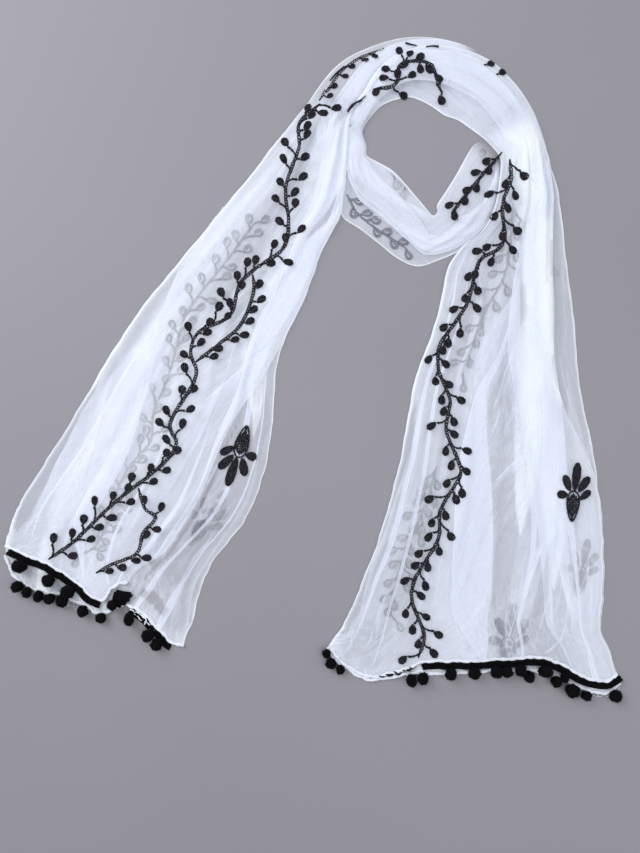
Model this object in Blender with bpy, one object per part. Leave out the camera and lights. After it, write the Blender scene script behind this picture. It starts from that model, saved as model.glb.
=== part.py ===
"""A sheer chiffon stole laid out flat: a turn and a half round the neck and two falls.

The stole is one long rectangle of cloth, folded lengthwise. Each stretch of it that shows is
one solid here: the two falls, the two strands over the back of the neck and the band that
crosses the front. Each end of the cloth has a rolled hem and a black lace with pompoms.

Lengths in the tables are millimetres; everything is built in metres. +Z is up, +Y runs from
the hems to the neck, and the stole lies on the plane z = 0.
"""
import math
from collections import namedtuple

import bmesh
import bpy
from mathutils import Vector

# ---------------------------------------------------------------- driving sizes (millimetres)
MM = 0.001            # metres in one millimetre
WALL = 1.2            # the cloth's wall
LAYER_GAP = 0.5       # air between two layers that lie on each other
SEAM_GAP = 0.3        # air between two pieces that meet
HEM_FADE = 95.0       # how far up a fall the waves of its hem reach
EDGE_STEP = 1.3       # height of one folded edge on the bunched strands
ROLL_WIDE = 2.6       # rolled hem, across
ROLL_HIGH = 2.0       # rolled hem, height
BRAID_THICK = 1.2     # the black braid of the lace
BRAID_WIDE = 6.2      # the braid where it lies on the cloth
BRAID_NARROW = 1.6    # the braid where it is turned under and only its edge shows
POMPOM_ROOT = 2.4     # width of the thread between the braid and a pompom
POMPOM_NECK = 0.4     # length of that thread
POMPOM_SQUARE = 0.86  # half the side of a four-sided pompom, for a radius of 1
BUNCH_REACH = 17.0    # the lace gathered into a fan at the left fall's notch
BUNCH_WALL = 2.2
BUNCH_FLUTES = 5

CENTRE_X = 3.5        # the middle of the laid stole in the tables' coordinates
CENTRE_Y = -5.75

# ------------------------------------------------------------------------------------ tables
# A section runs across a stretch of cloth, from its left edge to its right edge as the stole
# is wound; bulk is how high the bunched layers stand above the floor in its middle.
Section = namedtuple("Section", "left_x left_y right_x right_y bulk")

LEFT_FALL = [
    Section(-332, -219, -137, -306, 0.0),
    Section(-332, -191, -128, -280, 0.0),
    Section(-322, -160, -119, -245, 0.0),
    Section(-305, -130, -104, -212, 0.0),
    Section(-275, -84, -71, -170, 0.0),
    Section(-245, -35, -51, -122, 0.2),
    Section(-215, 16, -40, -64, 0.6),
    Section(-185, 61, -36, -6, 1.2),
    Section(-157, 96, -24, 36, 2.0),
    Section(-128, 131, -4, 75, 3.0),
    Section(-95, 172, 16, 130, 4.2),
    Section(-62, 212, 32, 167, 5.4),
    Section(-35, 247, 38, 210, 6.6),
    Section(-19, 265, 40, 245, 7.6),
    Section(-13, 274, 41, 262, 8.0),
]

RIGHT_FALL = [
    Section(23, -306, 341, -346, 0.0),
    Section(39, -280, 331, -316, 0.0),
    Section(50, -258, 320, -289, 0.0),
    Section(62, -228, 322, -254, 0.0),
    Section(77, -190, 323, -212, 0.0),
    Section(90, -146, 321, -168, 0.2),
    Section(101, -103, 316, -120, 0.4),
    Section(109, -59, 310, -79, 0.8),
    Section(117, -15, 300, -35, 1.2),
    Section(133, 28, 294, 18, 2.0),
    Section(146, 72, 290, 66, 3.0),
    Section(153, 103, 284, 112, 4.0),
    Section(169, 128, 279, 154, 5.0),
    Section(192, 146, 274, 192, 6.2),
    Section(206, 173, 266, 221, 7.2),
    Section(211, 202, 261, 240, 8.0),
    Section(212, 230, 257, 250, 8.4),
]

NECK_OVER = [
    Section(42, 265, 59, 260, 6.0),
    Section(50, 282, 68, 274, 7.0),
    Section(63, 299, 78, 285, 8.0),
    Section(75, 318, 89, 291, 9.5),
    Section(90, 333, 99, 294, 10.5),
    Section(110, 343, 110, 296, 11.0),
    Section(134, 347, 123, 292, 11.5),
    Section(159, 347, 136, 285, 12.0),
    Section(184, 341, 149, 276, 12.0),
    Section(206, 331, 163, 271, 11.5),
    Section(223, 315, 175, 263, 11.0),
    Section(237, 297, 186, 255, 10.0),
    Section(248, 276, 196, 247, 9.0),
    Section(257, 252, 210, 232, 8.4),
]

NECK_UNDER = [
    Section(-14, 275, 40, 263, 7.0),
    Section(-1, 288, 46, 277, 6.4),
    Section(10, 303, 57, 292, 5.8),
    Section(24, 321, 67, 309, 5.2),
    Section(41, 335, 78, 324, 4.6),
    Section(62, 345, 91, 334.5, 4.0),
    Section(86, 353, 108, 344, 3.4),
    Section(110, 358, 131, 348, 3.0),
    Section(134, 358, 150, 349, 2.4),
    Section(156, 353, 163, 349, 2.0),
]

FRONT_BAND = [
    Section(41.6, 262.5, 59, 258, 6.0),
    Section(40.8, 244, 63, 244, 6.6),
    Section(39.2, 219, 64, 232, 7.0),
    Section(36.5, 192, 75, 225, 7.4),
    Section(36, 166, 91, 216, 7.4),
    Section(56, 151, 104, 203, 7.4),
    Section(78, 134, 116, 189, 7.4),
    Section(97, 119, 127, 176, 7.4),
    Section(119, 110, 136, 166, 7.6),
    Section(143, 117, 141, 170, 7.8),
    Section(167, 128, 141, 178, 7.8),
    Section(189, 146, 150, 192, 7.6),
    Section(203, 171, 163, 213, 7.2),
    Section(209, 199, 174, 233, 6.8),
    Section(210, 215, 182, 244, 6.4),
    Section(210, 227, 191, 247, 6.0),
]

# How far the cloth's end drops past the first section, against the fraction across the fall.
Drop = namedtuple("Drop", "across drop")

LEFT_HEM_UPPER = [
    Drop(0.00, -23),
    Drop(0.14, -24),
    Drop(0.31, -22),
    Drop(0.41, -18),
    Drop(0.48, -10),
    Drop(0.53, -10),
    Drop(0.56, -24),
    Drop(0.64, -39),
    Drop(1.00, -39),
]
LEFT_HEM_UNDER = [
    Drop(0.00, -12),
    Drop(0.04, 4),
    Drop(0.10, 10),
    Drop(0.18, 10),
    Drop(0.30, 4),
    Drop(0.40, 3),
    Drop(0.50, 6),
    Drop(0.56, 3),
    Drop(0.62, -12),
    Drop(0.69, -18),
    Drop(0.77, -14),
    Drop(0.88, -4),
    Drop(0.95, 2),
    Drop(1.00, 0),
]
RIGHT_HEM_UPPER = [
    Drop(0.00, 0),
    Drop(0.06, 14),
    Drop(0.12, 22),
    Drop(0.18, 27),
    Drop(0.25, 18),
    Drop(0.33, 3),
    Drop(0.46, -3),
    Drop(0.60, -9),
    Drop(0.72, -16),
    Drop(0.80, -13),
    Drop(0.90, 0),
    Drop(0.95, 0),
    Drop(1.00, -9),
]
RIGHT_HEM_UNDER = [
    Drop(0.00, 2),
    Drop(0.06, 18),
    Drop(0.12, 26),
    Drop(0.18, 31),
    Drop(0.25, 24),
    Drop(0.33, 17),
    Drop(0.46, 12),
    Drop(0.60, 3),
    Drop(0.72, -2),
    Drop(0.80, 3),
    Drop(0.90, 13),
    Drop(0.95, 12),
    Drop(1.00, 1),
]

# How far across a fall its upper layer reaches, against the section counted from the hem.
Reach = namedtuple("Reach", "section across")

LEFT_REACH = [
    Reach(0, 0.64),
    Reach(1, 0.68),
    Reach(2, 0.73),
    Reach(3, 0.77),
    Reach(4, 0.75),
    Reach(5, 0.74),
    Reach(6, 0.80),
    Reach(7, 0.94),
    Reach(8, 1.00),
    Reach(14, 1.00),
]
RIGHT_REACH = [
    Reach(0, 1.00),
    Reach(5, 1.00),
    Reach(6, 0.98),
    Reach(7, 0.92),
    Reach(8, 0.86),
    Reach(9, 0.83),
    Reach(10, 0.84),
    Reach(12, 0.88),
    Reach(14, 0.93),
    Reach(16, 0.97),
]

# A pleat is a soft ridge that runs along a stretch, from one section to another.
Pleat = namedtuple("Pleat", "from_section to_section across_from across_to width height")

LEFT_PLEATS = [
    Pleat(1.0, 7.5, 0.16, 0.20, 0.070, 2.2),
    Pleat(1.5, 9.0, 0.29, 0.33, 0.060, 1.8),
    Pleat(2.0, 10.5, 0.41, 0.46, 0.055, 2.0),
    Pleat(1.2, 11.5, 0.55, 0.60, 0.055, 2.4),
    Pleat(1.6, 8.0, 0.66, 0.82, 0.045, 2.6),
    Pleat(6.5, 14.0, 0.10, 0.22, 0.080, 2.2),
    Pleat(8.0, 14.0, 0.74, 0.84, 0.075, 2.4),
    Pleat(9.5, 14.0, 0.36, 0.40, 0.070, 2.0),
]
RIGHT_PLEATS = [
    Pleat(7.0, 16.0, 0.78, 0.80, 0.075, 3.2),
    Pleat(0.6, 9.5, 0.53, 0.47, 0.045, 2.6),
    Pleat(4.0, 9.0, 0.64, 0.55, 0.045, 2.2),
    Pleat(0.5, 5.0, 0.68, 0.77, 0.045, 2.4),
    Pleat(0.5, 4.2, 0.83, 0.79, 0.045, 2.0),
    Pleat(0.8, 8.0, 0.13, 0.07, 0.040, 2.2),
    Pleat(0.7, 9.0, 0.24, 0.14, 0.040, 2.0),
    Pleat(1.5, 12.0, 0.36, 0.28, 0.055, 2.0),
    Pleat(8.5, 16.0, 0.58, 0.52, 0.070, 2.4),
    Pleat(11.0, 16.0, 0.22, 0.26, 0.070, 2.0),
]
OVER_PLEATS = [
    Pleat(0.5, 12.5, 0.22, 0.20, 0.070, 1.6),
    Pleat(2.0, 13.0, 0.45, 0.42, 0.070, 1.8),
    Pleat(3.0, 11.0, 0.72, 0.70, 0.060, 1.4),
]
UNDER_PLEATS = [
    Pleat(0.0, 6.0, 0.35, 0.35, 0.120, 1.2),
]
BAND_PLEATS = [
    Pleat(0.5, 13.0, 0.30, 0.30, 0.070, 1.6),
    Pleat(1.0, 14.5, 0.52, 0.50, 0.070, 1.8),
    Pleat(2.0, 12.0, 0.76, 0.72, 0.060, 1.4),
]

# A pompom hangs from the lace, at a distance along it.
Pompom = namedtuple("Pompom", "along radius")

LEFT_UPPER_POMPOMS = [
    Pompom(20, 5.8),
    Pompom(57, 5.8),
    Pompom(86, 5.8),
    Pompom(113, 4.8),
]
LEFT_UNDER_POMPOMS = [
    Pompom(34, 5.6),
    Pompom(46, 5.6),
    Pompom(58, 5.6),
    Pompom(70, 5.6),
    Pompom(88, 5.8),
    Pompom(114, 5.6),
    Pompom(132, 4.8),
]
LEFT_SIDE_POMPOMS = [
    Pompom(4, 5.8),
    Pompom(36, 5.8),
    Pompom(51, 5.8),
]
RIGHT_UPPER_POMPOMS = [
    Pompom(31, 5.8),
    Pompom(57, 5.8),
    Pompom(81, 5.8),
    Pompom(94, 5.8),
    Pompom(107, 5.6),
    Pompom(139, 5.8),
    Pompom(165, 4.8),
]
RIGHT_UNDER_POMPOMS = [
    Pompom(7, 4.6),
    Pompom(26, 4.6),
    Pompom(105, 5.6),
    Pompom(119, 5.6),
    Pompom(236, 5.6),
    Pompom(268, 5.4),
    Pompom(289, 5.8),
    Pompom(304, 5.8),
    Pompom(332, 5.4),
]

# ------------------------------------------------------------------------------------- colours
SHEER_WHITE = (0.80, 0.84, 0.92)
HEM_WHITE = (0.90, 0.93, 0.98)
LACE_BLACK = (0.010, 0.010, 0.014)
CLOTH_ROUGH = 0.62
LACE_ROUGH = 0.85


# ------------------------------------------------------------------------------ plain curves
def hermite(a, b, slope_a, slope_b, t):
    """A cubic from a to b with the given slopes at its ends, t from 0 to 1."""
    t2 = t * t
    t3 = t2 * t
    return (
        (2 * t3 - 3 * t2 + 1) * a
        + (t3 - 2 * t2 + t) * slope_a
        + (3 * t2 - 2 * t3) * b
        + (t3 - t2) * slope_b
    )


def smooth_step(t):
    """0 below 0, 1 above 1 and a soft ramp between."""
    t = min(1.0, max(0.0, t))
    return t * t * (3 - 2 * t)


def through(points, x):
    """A smooth curve through (x, y) points in order of x, level past its ends."""
    if x <= points[0][0]:
        return points[0][1]
    if x >= points[-1][0]:
        return points[-1][1]
    k = max(i for i in range(len(points) - 1) if points[i][0] <= x)
    x0, y0 = points[k]
    x1, y1 = points[k + 1]
    span = x1 - x0
    slope = (y1 - y0) / span
    before = (y0 - points[k - 1][1]) / (x0 - points[k - 1][0]) if k > 0 else slope
    after = (points[k + 2][1] - y1) / (points[k + 2][0] - x1) if k + 2 < len(points) else slope
    # A turning point stays a turning point, so that the curve never overshoots the table.
    start = 0.5 * (before + slope) if before * slope > 0 else 0.0
    end = 0.5 * (after + slope) if after * slope > 0 else 0.0
    return hermite(y0, y1, start * span, end * span, (x - x0) / span)


class Stretch:
    """A stretch of cloth: a place on it is a fraction across and a distance along."""

    def __init__(self, sections):
        self.rows = sections
        self.left = [Vector((s.left_x, s.left_y)) for s in sections]
        self.right = [Vector((s.right_x, s.right_y)) for s in sections]
        self.reached = [0.0]
        for k in range(1, len(sections)):
            step = (self.middle(k) - self.middle(k - 1)).length
            self.reached.append(self.reached[-1] + step)
        self.length = self.reached[-1]

    def middle(self, k):
        return (self.left[k] + self.right[k]) / 2

    def section_at(self, along):
        """The section, counted from 0 and with its fraction, at a distance along."""
        if along <= 0:
            return along / self.reached[1]
        for k in range(1, len(self.rows)):
            if along <= self.reached[k]:
                return k - 1 + (along - self.reached[k - 1]) / (self.reached[k] - self.reached[k - 1])
        return float(len(self.rows) - 1)

    def edge(self, points, section):
        """A point on an edge, smooth through the table's points and straight before the first."""
        if section <= 0:
            return points[0] + (points[1] - points[0]) * section
        last = len(points) - 1
        k = min(int(section), last - 1)
        before = points[k - 1] if k > 0 else 2 * points[0] - points[1]
        after = points[k + 2] if k + 2 <= last else 2 * points[last] - points[last - 1]
        a = points[k]
        b = points[k + 1]
        return hermite(a, b, (b - before) / 2, (after - a) / 2, section - k)

    def place(self, across, along):
        """The point on the floor plan at a fraction across and a distance along."""
        section = self.section_at(along)
        left = self.edge(self.left, section)
        right = self.edge(self.right, section)
        return left + (right - left) * across

    def bulk(self, along):
        section = max(0.0, self.section_at(along))
        return through([(k, row.bulk) for k, row in enumerate(self.rows)], section)


def pleat_height(pleats, section, across):
    """How far the ridges lift the cloth at a place; they fade out toward their ends."""
    height = 0.0
    for pleat in pleats:
        run = (section - pleat.from_section) / (pleat.to_section - pleat.from_section)
        if run <= 0 or run >= 1:
            continue
        centre = pleat.across_from + (pleat.across_to - pleat.across_from) * run
        side = abs(across - centre) / pleat.width
        if side < 1:
            fade = smooth_step(run / 0.18) * smooth_step((1 - run) / 0.18)
            height += pleat.height * fade * (1 + math.cos(math.pi * side)) / 2
    return height


# ---------------------------------------------------------------------------------- meshes
def finish(name, mesh, material):
    """Point the faces outward, round the shading and link the object."""
    bm = bmesh.new()
    bm.from_mesh(mesh)
    bmesh.ops.recalc_face_normals(bm, faces=bm.faces[:])
    bm.to_mesh(mesh)
    bm.free()
    mesh.shade_smooth()
    mesh.set_sharp_from_angle(angle=math.radians(50))
    mesh.materials.append(material)
    piece = bpy.data.objects.new(name, mesh)
    bpy.context.scene.collection.objects.link(piece)
    return piece


def wall(name, outside, inside, material):
    """Close two sheets of points, row by row, into one body with a rim all round."""
    rows = len(outside)
    columns = len(outside[0])
    points = [p for row in outside for p in row] + [p for row in inside for p in row]
    second = rows * columns

    def at(sheet, r, c):
        return sheet * second + r * columns + c

    faces = []
    for r in range(rows - 1):
        for c in range(columns - 1):
            faces.append((at(0, r, c), at(0, r, c + 1), at(0, r + 1, c + 1), at(0, r + 1, c)))
            faces.append((at(1, r, c), at(1, r + 1, c), at(1, r + 1, c + 1), at(1, r, c + 1)))
        for c in (0, columns - 1):
            faces.append((at(0, r, c), at(0, r + 1, c), at(1, r + 1, c), at(1, r, c)))
    for c in range(columns - 1):
        for r in (0, rows - 1):
            faces.append((at(0, r, c), at(0, r, c + 1), at(1, r, c + 1), at(1, r, c)))
    mesh = bpy.data.meshes.new(name)
    mesh.from_pydata([Vector(p) * MM for p in points], [], faces)
    return finish(name, mesh, material)


def tube(name, rings, material):
    """A closed body through rings of points, with a flat cap on each end."""
    bm = bmesh.new()
    loops = [[bm.verts.new(p * MM) for p in ring] for ring in rings]
    sides = len(rings[0])
    for a, b in zip(loops, loops[1:]):
        for s in range(sides):
            t = (s + 1) % sides
            bm.faces.new((a[s], a[t], b[t], b[s]))
    bm.faces.new(loops[0][::-1])
    bm.faces.new(loops[-1])
    mesh = bpy.data.meshes.new(name)
    bm.to_mesh(mesh)
    bm.free()
    return finish(name, mesh, material)


# ------------------------------------------------------------------------- stretches of cloth
class Fall:
    """One end of the stole, folded lengthwise: an under layer, the fold, an upper layer."""

    UNDER_COLUMNS = 16
    UPPER_COLUMNS = 22
    ROWS = 22

    def __init__(self, sections, hem_upper, hem_under, reach, pleats):
        self.stretch = Stretch(sections)
        self.hem_upper = hem_upper
        self.hem_under = hem_under
        self.reach = reach
        self.pleats = pleats

    def drop(self, table, across):
        return through([(row.across, row.drop) for row in table], across)

    def place(self, table, across, along):
        """A plan point of a layer; along counts from that layer's hem, not from section 0."""
        fade = 1 - smooth_step(along / HEM_FADE)
        return self.stretch.place(across, along - self.drop(table, across) * fade)

    def under_top(self, across, along):
        swell = math.sin(math.pi * min(1.0, max(0.0, across))) ** 0.6
        return WALL + self.stretch.bulk(along) * swell

    def upper_bottom(self, across, along):
        section = max(0.0, self.stretch.section_at(along))
        lift = pleat_height(self.pleats, section, across)
        return self.under_top(across, along) + LAYER_GAP + lift

    def reach_at(self, along):
        section = max(0.0, self.stretch.section_at(along))
        return through([(row.section, row.across) for row in self.reach], section)

    def section_points(self, along):
        """Both faces of the folded wall at one distance along, each as a row of points."""
        outside = []
        inside = []
        for c in range(self.UNDER_COLUMNS + 1):
            across = 1 - c / self.UNDER_COLUMNS
            plan = self.place(self.hem_under, across, along)
            outside.append((plan.x, plan.y, 0.0))
            inside.append((plan.x, plan.y, self.under_top(across, along)))
        edge_under = self.place(self.hem_under, 0.0, along)
        edge_upper = self.place(self.hem_upper, 0.0, along)
        leftward = (edge_under - self.place(self.hem_under, 1.0, along)).normalized()
        low = self.under_top(0.0, along)
        high = self.upper_bottom(0.0, along)
        for turn in (-45, 0, 45):
            angle = math.radians(turn)
            share = (math.sin(angle) + 1) / 2
            plan = edge_under.lerp(edge_upper, share)
            for row, bottom, top in ((outside, 0.0, high + WALL), (inside, low, high)):
                radius = (top - bottom) / 2
                spot = plan + leftward * radius * math.cos(angle)
                row.append((spot.x, spot.y, (top + bottom) / 2 + radius * math.sin(angle)))
        reach = self.reach_at(along)
        for c in range(self.UPPER_COLUMNS + 1):
            across = reach * c / self.UPPER_COLUMNS
            plan = self.place(self.hem_upper, across, along)
            bottom = self.upper_bottom(across, along)
            outside.append((plan.x, plan.y, bottom + WALL))
            inside.append((plan.x, plan.y, bottom))
        return outside, inside

    def build(self, name, material):
        rows = [self.section_points(self.stretch.length * r / self.ROWS) for r in range(self.ROWS + 1)]
        return wall(name, [row[0] for row in rows], [row[1] for row in rows], material)

    def hem_edge(self, table, across_from=0.0, across_to=1.0, columns=UNDER_COLUMNS):
        """A layer's end, with its corners where the wall has them."""
        run = across_to - across_from
        return [self.place(table, across_from + run * k / columns, 0.0) for k in range(columns + 1)]


class Edge:
    """An edge of cloth seen from above, and the lines that run parallel to it."""

    def __init__(self, points):
        self.points = points
        self.marks = [0.0]
        self.normals = []
        for a, b in zip(points, points[1:]):
            self.marks.append(self.marks[-1] + (b - a).length)
            self.normals.append(Vector((b.y - a.y, a.x - b.x)).normalized())
        self.length = self.marks[-1]

    def clear_of_corners(self, along, room):
        """The place nearest to a distance along that leaves its room on one straight piece."""
        for mark in self.marks:
            if abs(along - mark) < room:
                return mark + math.copysign(room, along - mark)
        return along

    def segment(self, along):
        k = 0
        while k < len(self.normals) - 1 and self.marks[k + 1] <= along:
            k += 1
        return k

    def mitre(self, k):
        """How far a corner of a parallel line moves for each millimetre out."""
        before = self.normals[max(0, k - 1)]
        after = self.normals[min(len(self.normals) - 1, k)]
        middle = (before + after).normalized()
        return middle / max(0.5, middle.dot(after))

    def outward(self, along):
        return self.normals[self.segment(along)]

    def beside(self, along, out, z):
        k = self.segment(along)
        share = (along - self.marks[k]) / (self.marks[k + 1] - self.marks[k])
        start = self.points[k] + self.mitre(k) * out
        end = self.points[k + 1] + self.mitre(k + 1) * out
        spot = start.lerp(end, share)
        return Vector((spot.x, spot.y, z))


def roll(name, edge, first, z, material):
    """The rolled hem on a layer's end, from one corner on, with a ring at each corner."""
    far = SEAM_GAP + ROLL_WIDE
    inset = ROLL_WIDE * 0.22
    low = z - ROLL_HIGH / 2
    high = z + ROLL_HIGH / 2
    profile = [
        (SEAM_GAP, z),
        (SEAM_GAP + inset, low),
        (far - inset, low),
        (far, z),
        (far - inset, high),
        (SEAM_GAP + inset, high),
    ]
    rings = []
    for mark in edge.marks[first:]:
        rings.append([edge.beside(mark, out, level) for out, level in profile])
    return tube(name, rings, material)


def lace(name, edge, first, last, wide, z, pompoms, material):
    """A strip of black braid beside a rolled hem, between two corners of its edge."""
    near = SEAM_GAP + ROLL_WIDE + SEAM_GAP
    half = POMPOM_ROOT / 2
    roots = {}
    for pompom in pompoms:
        along = edge.clear_of_corners(edge.marks[first] + pompom.along, half + 0.3)
        roots[along - half] = pompom._replace(along=along)
    stations = sorted(edge.marks[first:last + 1] + list(roots) + [p.along + half for p in roots.values()])
    bm = bmesh.new()
    rings = []
    for along in stations:
        corners = [
            edge.beside(along, near, z - BRAID_THICK / 2),
            edge.beside(along, near + wide, z - BRAID_THICK / 2),
            edge.beside(along, near + wide, z + BRAID_THICK / 2),
            edge.beside(along, near, z + BRAID_THICK / 2),
        ]
        rings.append([bm.verts.new(p * MM) for p in corners])
    for along, a, b in zip(stations, rings, rings[1:]):
        for s in range(4):
            t = (s + 1) % 4
            pompom = roots.get(along)
            if s == 1 and pompom:
                add_pompom(bm, edge, pompom, near + wide, z - BRAID_THICK / 2, (a[1], b[1], b[2], a[2]))
            else:
                bm.faces.new((a[s], a[t], b[t], b[s]))
    bm.faces.new(rings[0][::-1])
    bm.faces.new(rings[-1])
    mesh = bpy.data.meshes.new(name)
    bm.to_mesh(mesh)
    bm.free()
    return finish(name, mesh, material)


def add_pompom(bm, edge, pompom, out, floor, root):
    """Grow a four-sided pompom from the four corners of its root on the braid's outer side."""
    along_way = (edge.beside(pompom.along + 1, out, 0) - edge.beside(pompom.along - 1, out, 0)).normalized()
    outward = edge.outward(pompom.along)
    outward = Vector((outward.x, outward.y, 0))
    centre = edge.beside(pompom.along, out + POMPOM_NECK + pompom.radius, floor + pompom.radius)
    bands = 5
    last = list(root)
    for k in range(1, bands + 1):
        turn = math.pi * k / (bands + 1)
        reach = -pompom.radius * math.cos(turn)
        half = pompom.radius * math.sin(turn) * POMPOM_SQUARE
        ring = []
        for side, rise in ((-1, -1), (1, -1), (1, 1), (-1, 1)):
            spot = centre + outward * reach + along_way * half * side + Vector((0, 0, half * rise))
            ring.append(bm.verts.new(spot * MM))
        for s in range(4):
            t = (s + 1) % 4
            bm.faces.new((last[s], last[t], ring[t], ring[s]))
        last = ring
    bm.faces.new(last)


def fan(name, apex, heading, spread, z, material, columns=20, rows=4):
    """The lace gathered into a fluted fan: its apex, the way it faces and how wide it opens."""
    outside = []
    inside = []
    for r in range(rows + 1):
        out = BUNCH_REACH * (0.2 + 0.8 * r / rows)
        top = []
        bottom = []
        for c in range(columns + 1):
            angle = math.radians(heading + spread * (c / columns - 0.5))
            flute = (1 - math.cos(2 * math.pi * BUNCH_FLUTES * c / columns)) / 2
            rise = z + 2.4 * flute * r / rows
            x = apex.x + out * math.cos(angle)
            y = apex.y + out * math.sin(angle)
            bottom.append((x, y, rise))
            top.append((x, y, rise + BUNCH_WALL))
        outside.append(top)
        inside.append(bottom)
    return wall(name, outside, inside, material)


def bunched(name, sections, pleats, columns, rows, material):
    """A strand of bunched cloth: a flat underside, edges in steps and a rounded, ridged top."""
    stretch = Stretch(sections)
    outside = []
    inside = []
    for r in range(rows + 1):
        along = stretch.length * r / rows
        section = stretch.section_at(along)
        bulk = stretch.bulk(along)
        top = []
        floor = []
        for c in range(columns + 1):
            # Columns crowd toward the edges, where the folded layers step up.
            across = (1 - math.cos(math.pi * c / columns)) / 2
            plan = stretch.place(across, along)
            near = min(across, 1 - across)
            steps = EDGE_STEP * (1 + smooth_step(near / 0.05) + smooth_step((near - 0.06) / 0.05))
            crown = max(0.0, bulk - 3 * EDGE_STEP) * math.sin(math.pi * across) ** 0.8
            lift = pleat_height(pleats, section, across)
            top.append((plan.x, plan.y, steps + crown + lift))
            floor.append((plan.x, plan.y, 0.0))
        outside.append(top)
        inside.append(floor)
    return wall(name, outside, inside, material)


def plain(name, colour, rough):
    """A plain finish."""
    material = bpy.data.materials.new(name)
    material.use_nodes = True
    shader = material.node_tree.nodes["Principled BSDF"]
    shader.inputs["Base Color"].default_value = (*colour, 1.0)
    shader.inputs["Roughness"].default_value = rough
    shader.inputs["Metallic"].default_value = 0.0
    material.diffuse_color = (*colour, 1.0)
    return material


def build():
    cloth = plain("chiffon", SHEER_WHITE, CLOTH_ROUGH)
    rolled = plain("rolled_chiffon", HEM_WHITE, CLOTH_ROUGH)
    black = plain("black_lace", LACE_BLACK, LACE_ROUGH)

    left = Fall(LEFT_FALL, LEFT_HEM_UPPER, LEFT_HEM_UNDER, LEFT_REACH, LEFT_PLEATS)
    right = Fall(RIGHT_FALL, RIGHT_HEM_UPPER, RIGHT_HEM_UNDER, RIGHT_REACH, RIGHT_PLEATS)
    pieces = [
        left.build("left_fall", cloth),
        right.build("right_fall", cloth),
        bunched("neck_over", NECK_OVER, OVER_PLEATS, 12, 24, cloth),
        bunched("neck_under", NECK_UNDER, UNDER_PLEATS, 8, 18, cloth),
        bunched("front_band", FRONT_BAND, BAND_PLEATS, 12, 24, cloth),
    ]

    columns = Fall.UPPER_COLUMNS
    left_upper = Edge(left.hem_edge(LEFT_HEM_UPPER, 0.0, LEFT_REACH[0].across, columns))
    left_under = Edge(left.hem_edge(LEFT_HEM_UNDER))
    right_upper = Edge(right.hem_edge(RIGHT_HEM_UPPER, 0.0, RIGHT_REACH[0].across, columns))
    right_under = Edge(right.hem_edge(RIGHT_HEM_UNDER))
    under_roll = ROLL_HIGH / 2
    upper_roll = WALL + SEAM_GAP + ROLL_HIGH / 2
    pieces += [
        roll("hem_left_upper", left_upper, 1, upper_roll, rolled),
        roll("hem_left_under", left_under, 0, under_roll, rolled),
        roll("hem_right_upper", right_upper, 1, upper_roll, rolled),
        roll("hem_right_under", right_under, 0, under_roll, rolled),
    ]

    under_braid = SEAM_GAP + BRAID_THICK / 2
    upper_braid = ROLL_HIGH + SEAM_GAP + BRAID_THICK / 2
    pieces += [
        lace("lace_left_upper", left_upper, 1, 18, BRAID_WIDE, upper_braid, LEFT_UPPER_POMPOMS, black),
        lace("lace_left_under", left_under, 0, 9, BRAID_NARROW, under_braid, LEFT_UNDER_POMPOMS, black),
        lace("lace_left_side", left_under, 11, 15, BRAID_WIDE, under_braid, LEFT_SIDE_POMPOMS, black),
        lace("lace_right_upper", right_upper, 7, 22, BRAID_WIDE, upper_braid, RIGHT_UPPER_POMPOMS, black),
        lace("lace_right_under", right_under, 0, 16, BRAID_NARROW, under_braid, RIGHT_UNDER_POMPOMS, black),
    ]
    apex = left_upper.beside(left_upper.length - 18, 5.0, 0)
    pieces.append(fan("lace_left_bunch", apex, -60, 70, ROLL_HIGH + SEAM_GAP, black))

    middle = Vector((CENTRE_X, CENTRE_Y, 0)) * MM
    for piece in pieces:
        for vertex in piece.data.vertices:
            vertex.co -= middle


for old in list(bpy.data.objects):
    bpy.data.objects.remove(old, do_unlink=True)
build()
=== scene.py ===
# %% [markdown]
# # A sheer stole, laid out
# The real thing is one long piece of white chiffon, folded lengthwise and wound once and a
# half round a neck's width, then laid flat. Chiffon hardly hides what is under it: the eye
# sees how MANY layers lie at a place, and every fold is a thin bright line. So this lesson
# builds the cloth as it is folded, layer over layer, and lets the layers do the shading.
# The embroidery, the rolled hems and the pompom lace are then laid on the finished cloth.

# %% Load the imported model
import math
from collections import namedtuple

import bpy
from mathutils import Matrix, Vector, noise
from mathutils.bvhtree import BVHTree


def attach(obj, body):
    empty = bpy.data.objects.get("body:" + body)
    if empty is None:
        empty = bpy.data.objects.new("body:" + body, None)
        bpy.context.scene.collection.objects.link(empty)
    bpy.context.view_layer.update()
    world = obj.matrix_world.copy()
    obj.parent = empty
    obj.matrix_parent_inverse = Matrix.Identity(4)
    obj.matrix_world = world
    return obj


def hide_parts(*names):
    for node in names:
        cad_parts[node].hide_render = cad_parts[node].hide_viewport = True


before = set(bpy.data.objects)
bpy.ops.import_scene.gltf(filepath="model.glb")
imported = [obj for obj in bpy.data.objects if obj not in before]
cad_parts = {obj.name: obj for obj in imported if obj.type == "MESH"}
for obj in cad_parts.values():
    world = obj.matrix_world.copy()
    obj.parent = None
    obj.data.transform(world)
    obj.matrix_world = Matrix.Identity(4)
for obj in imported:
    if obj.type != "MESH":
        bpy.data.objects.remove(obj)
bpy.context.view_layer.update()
noise.seed_set(5)     # so that the yarn and the loose threads come out the same each run
print("frame nodes:", sorted(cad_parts))

# %% [markdown]
# ## Shader sums as Python sums
# A finish is a small network of nodes. Written node by node it is hard to read, so one class
# wraps a socket and lets Python's own operators add the Math nodes. A second class owns the
# material and adds every other kind of node through one method.

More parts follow.
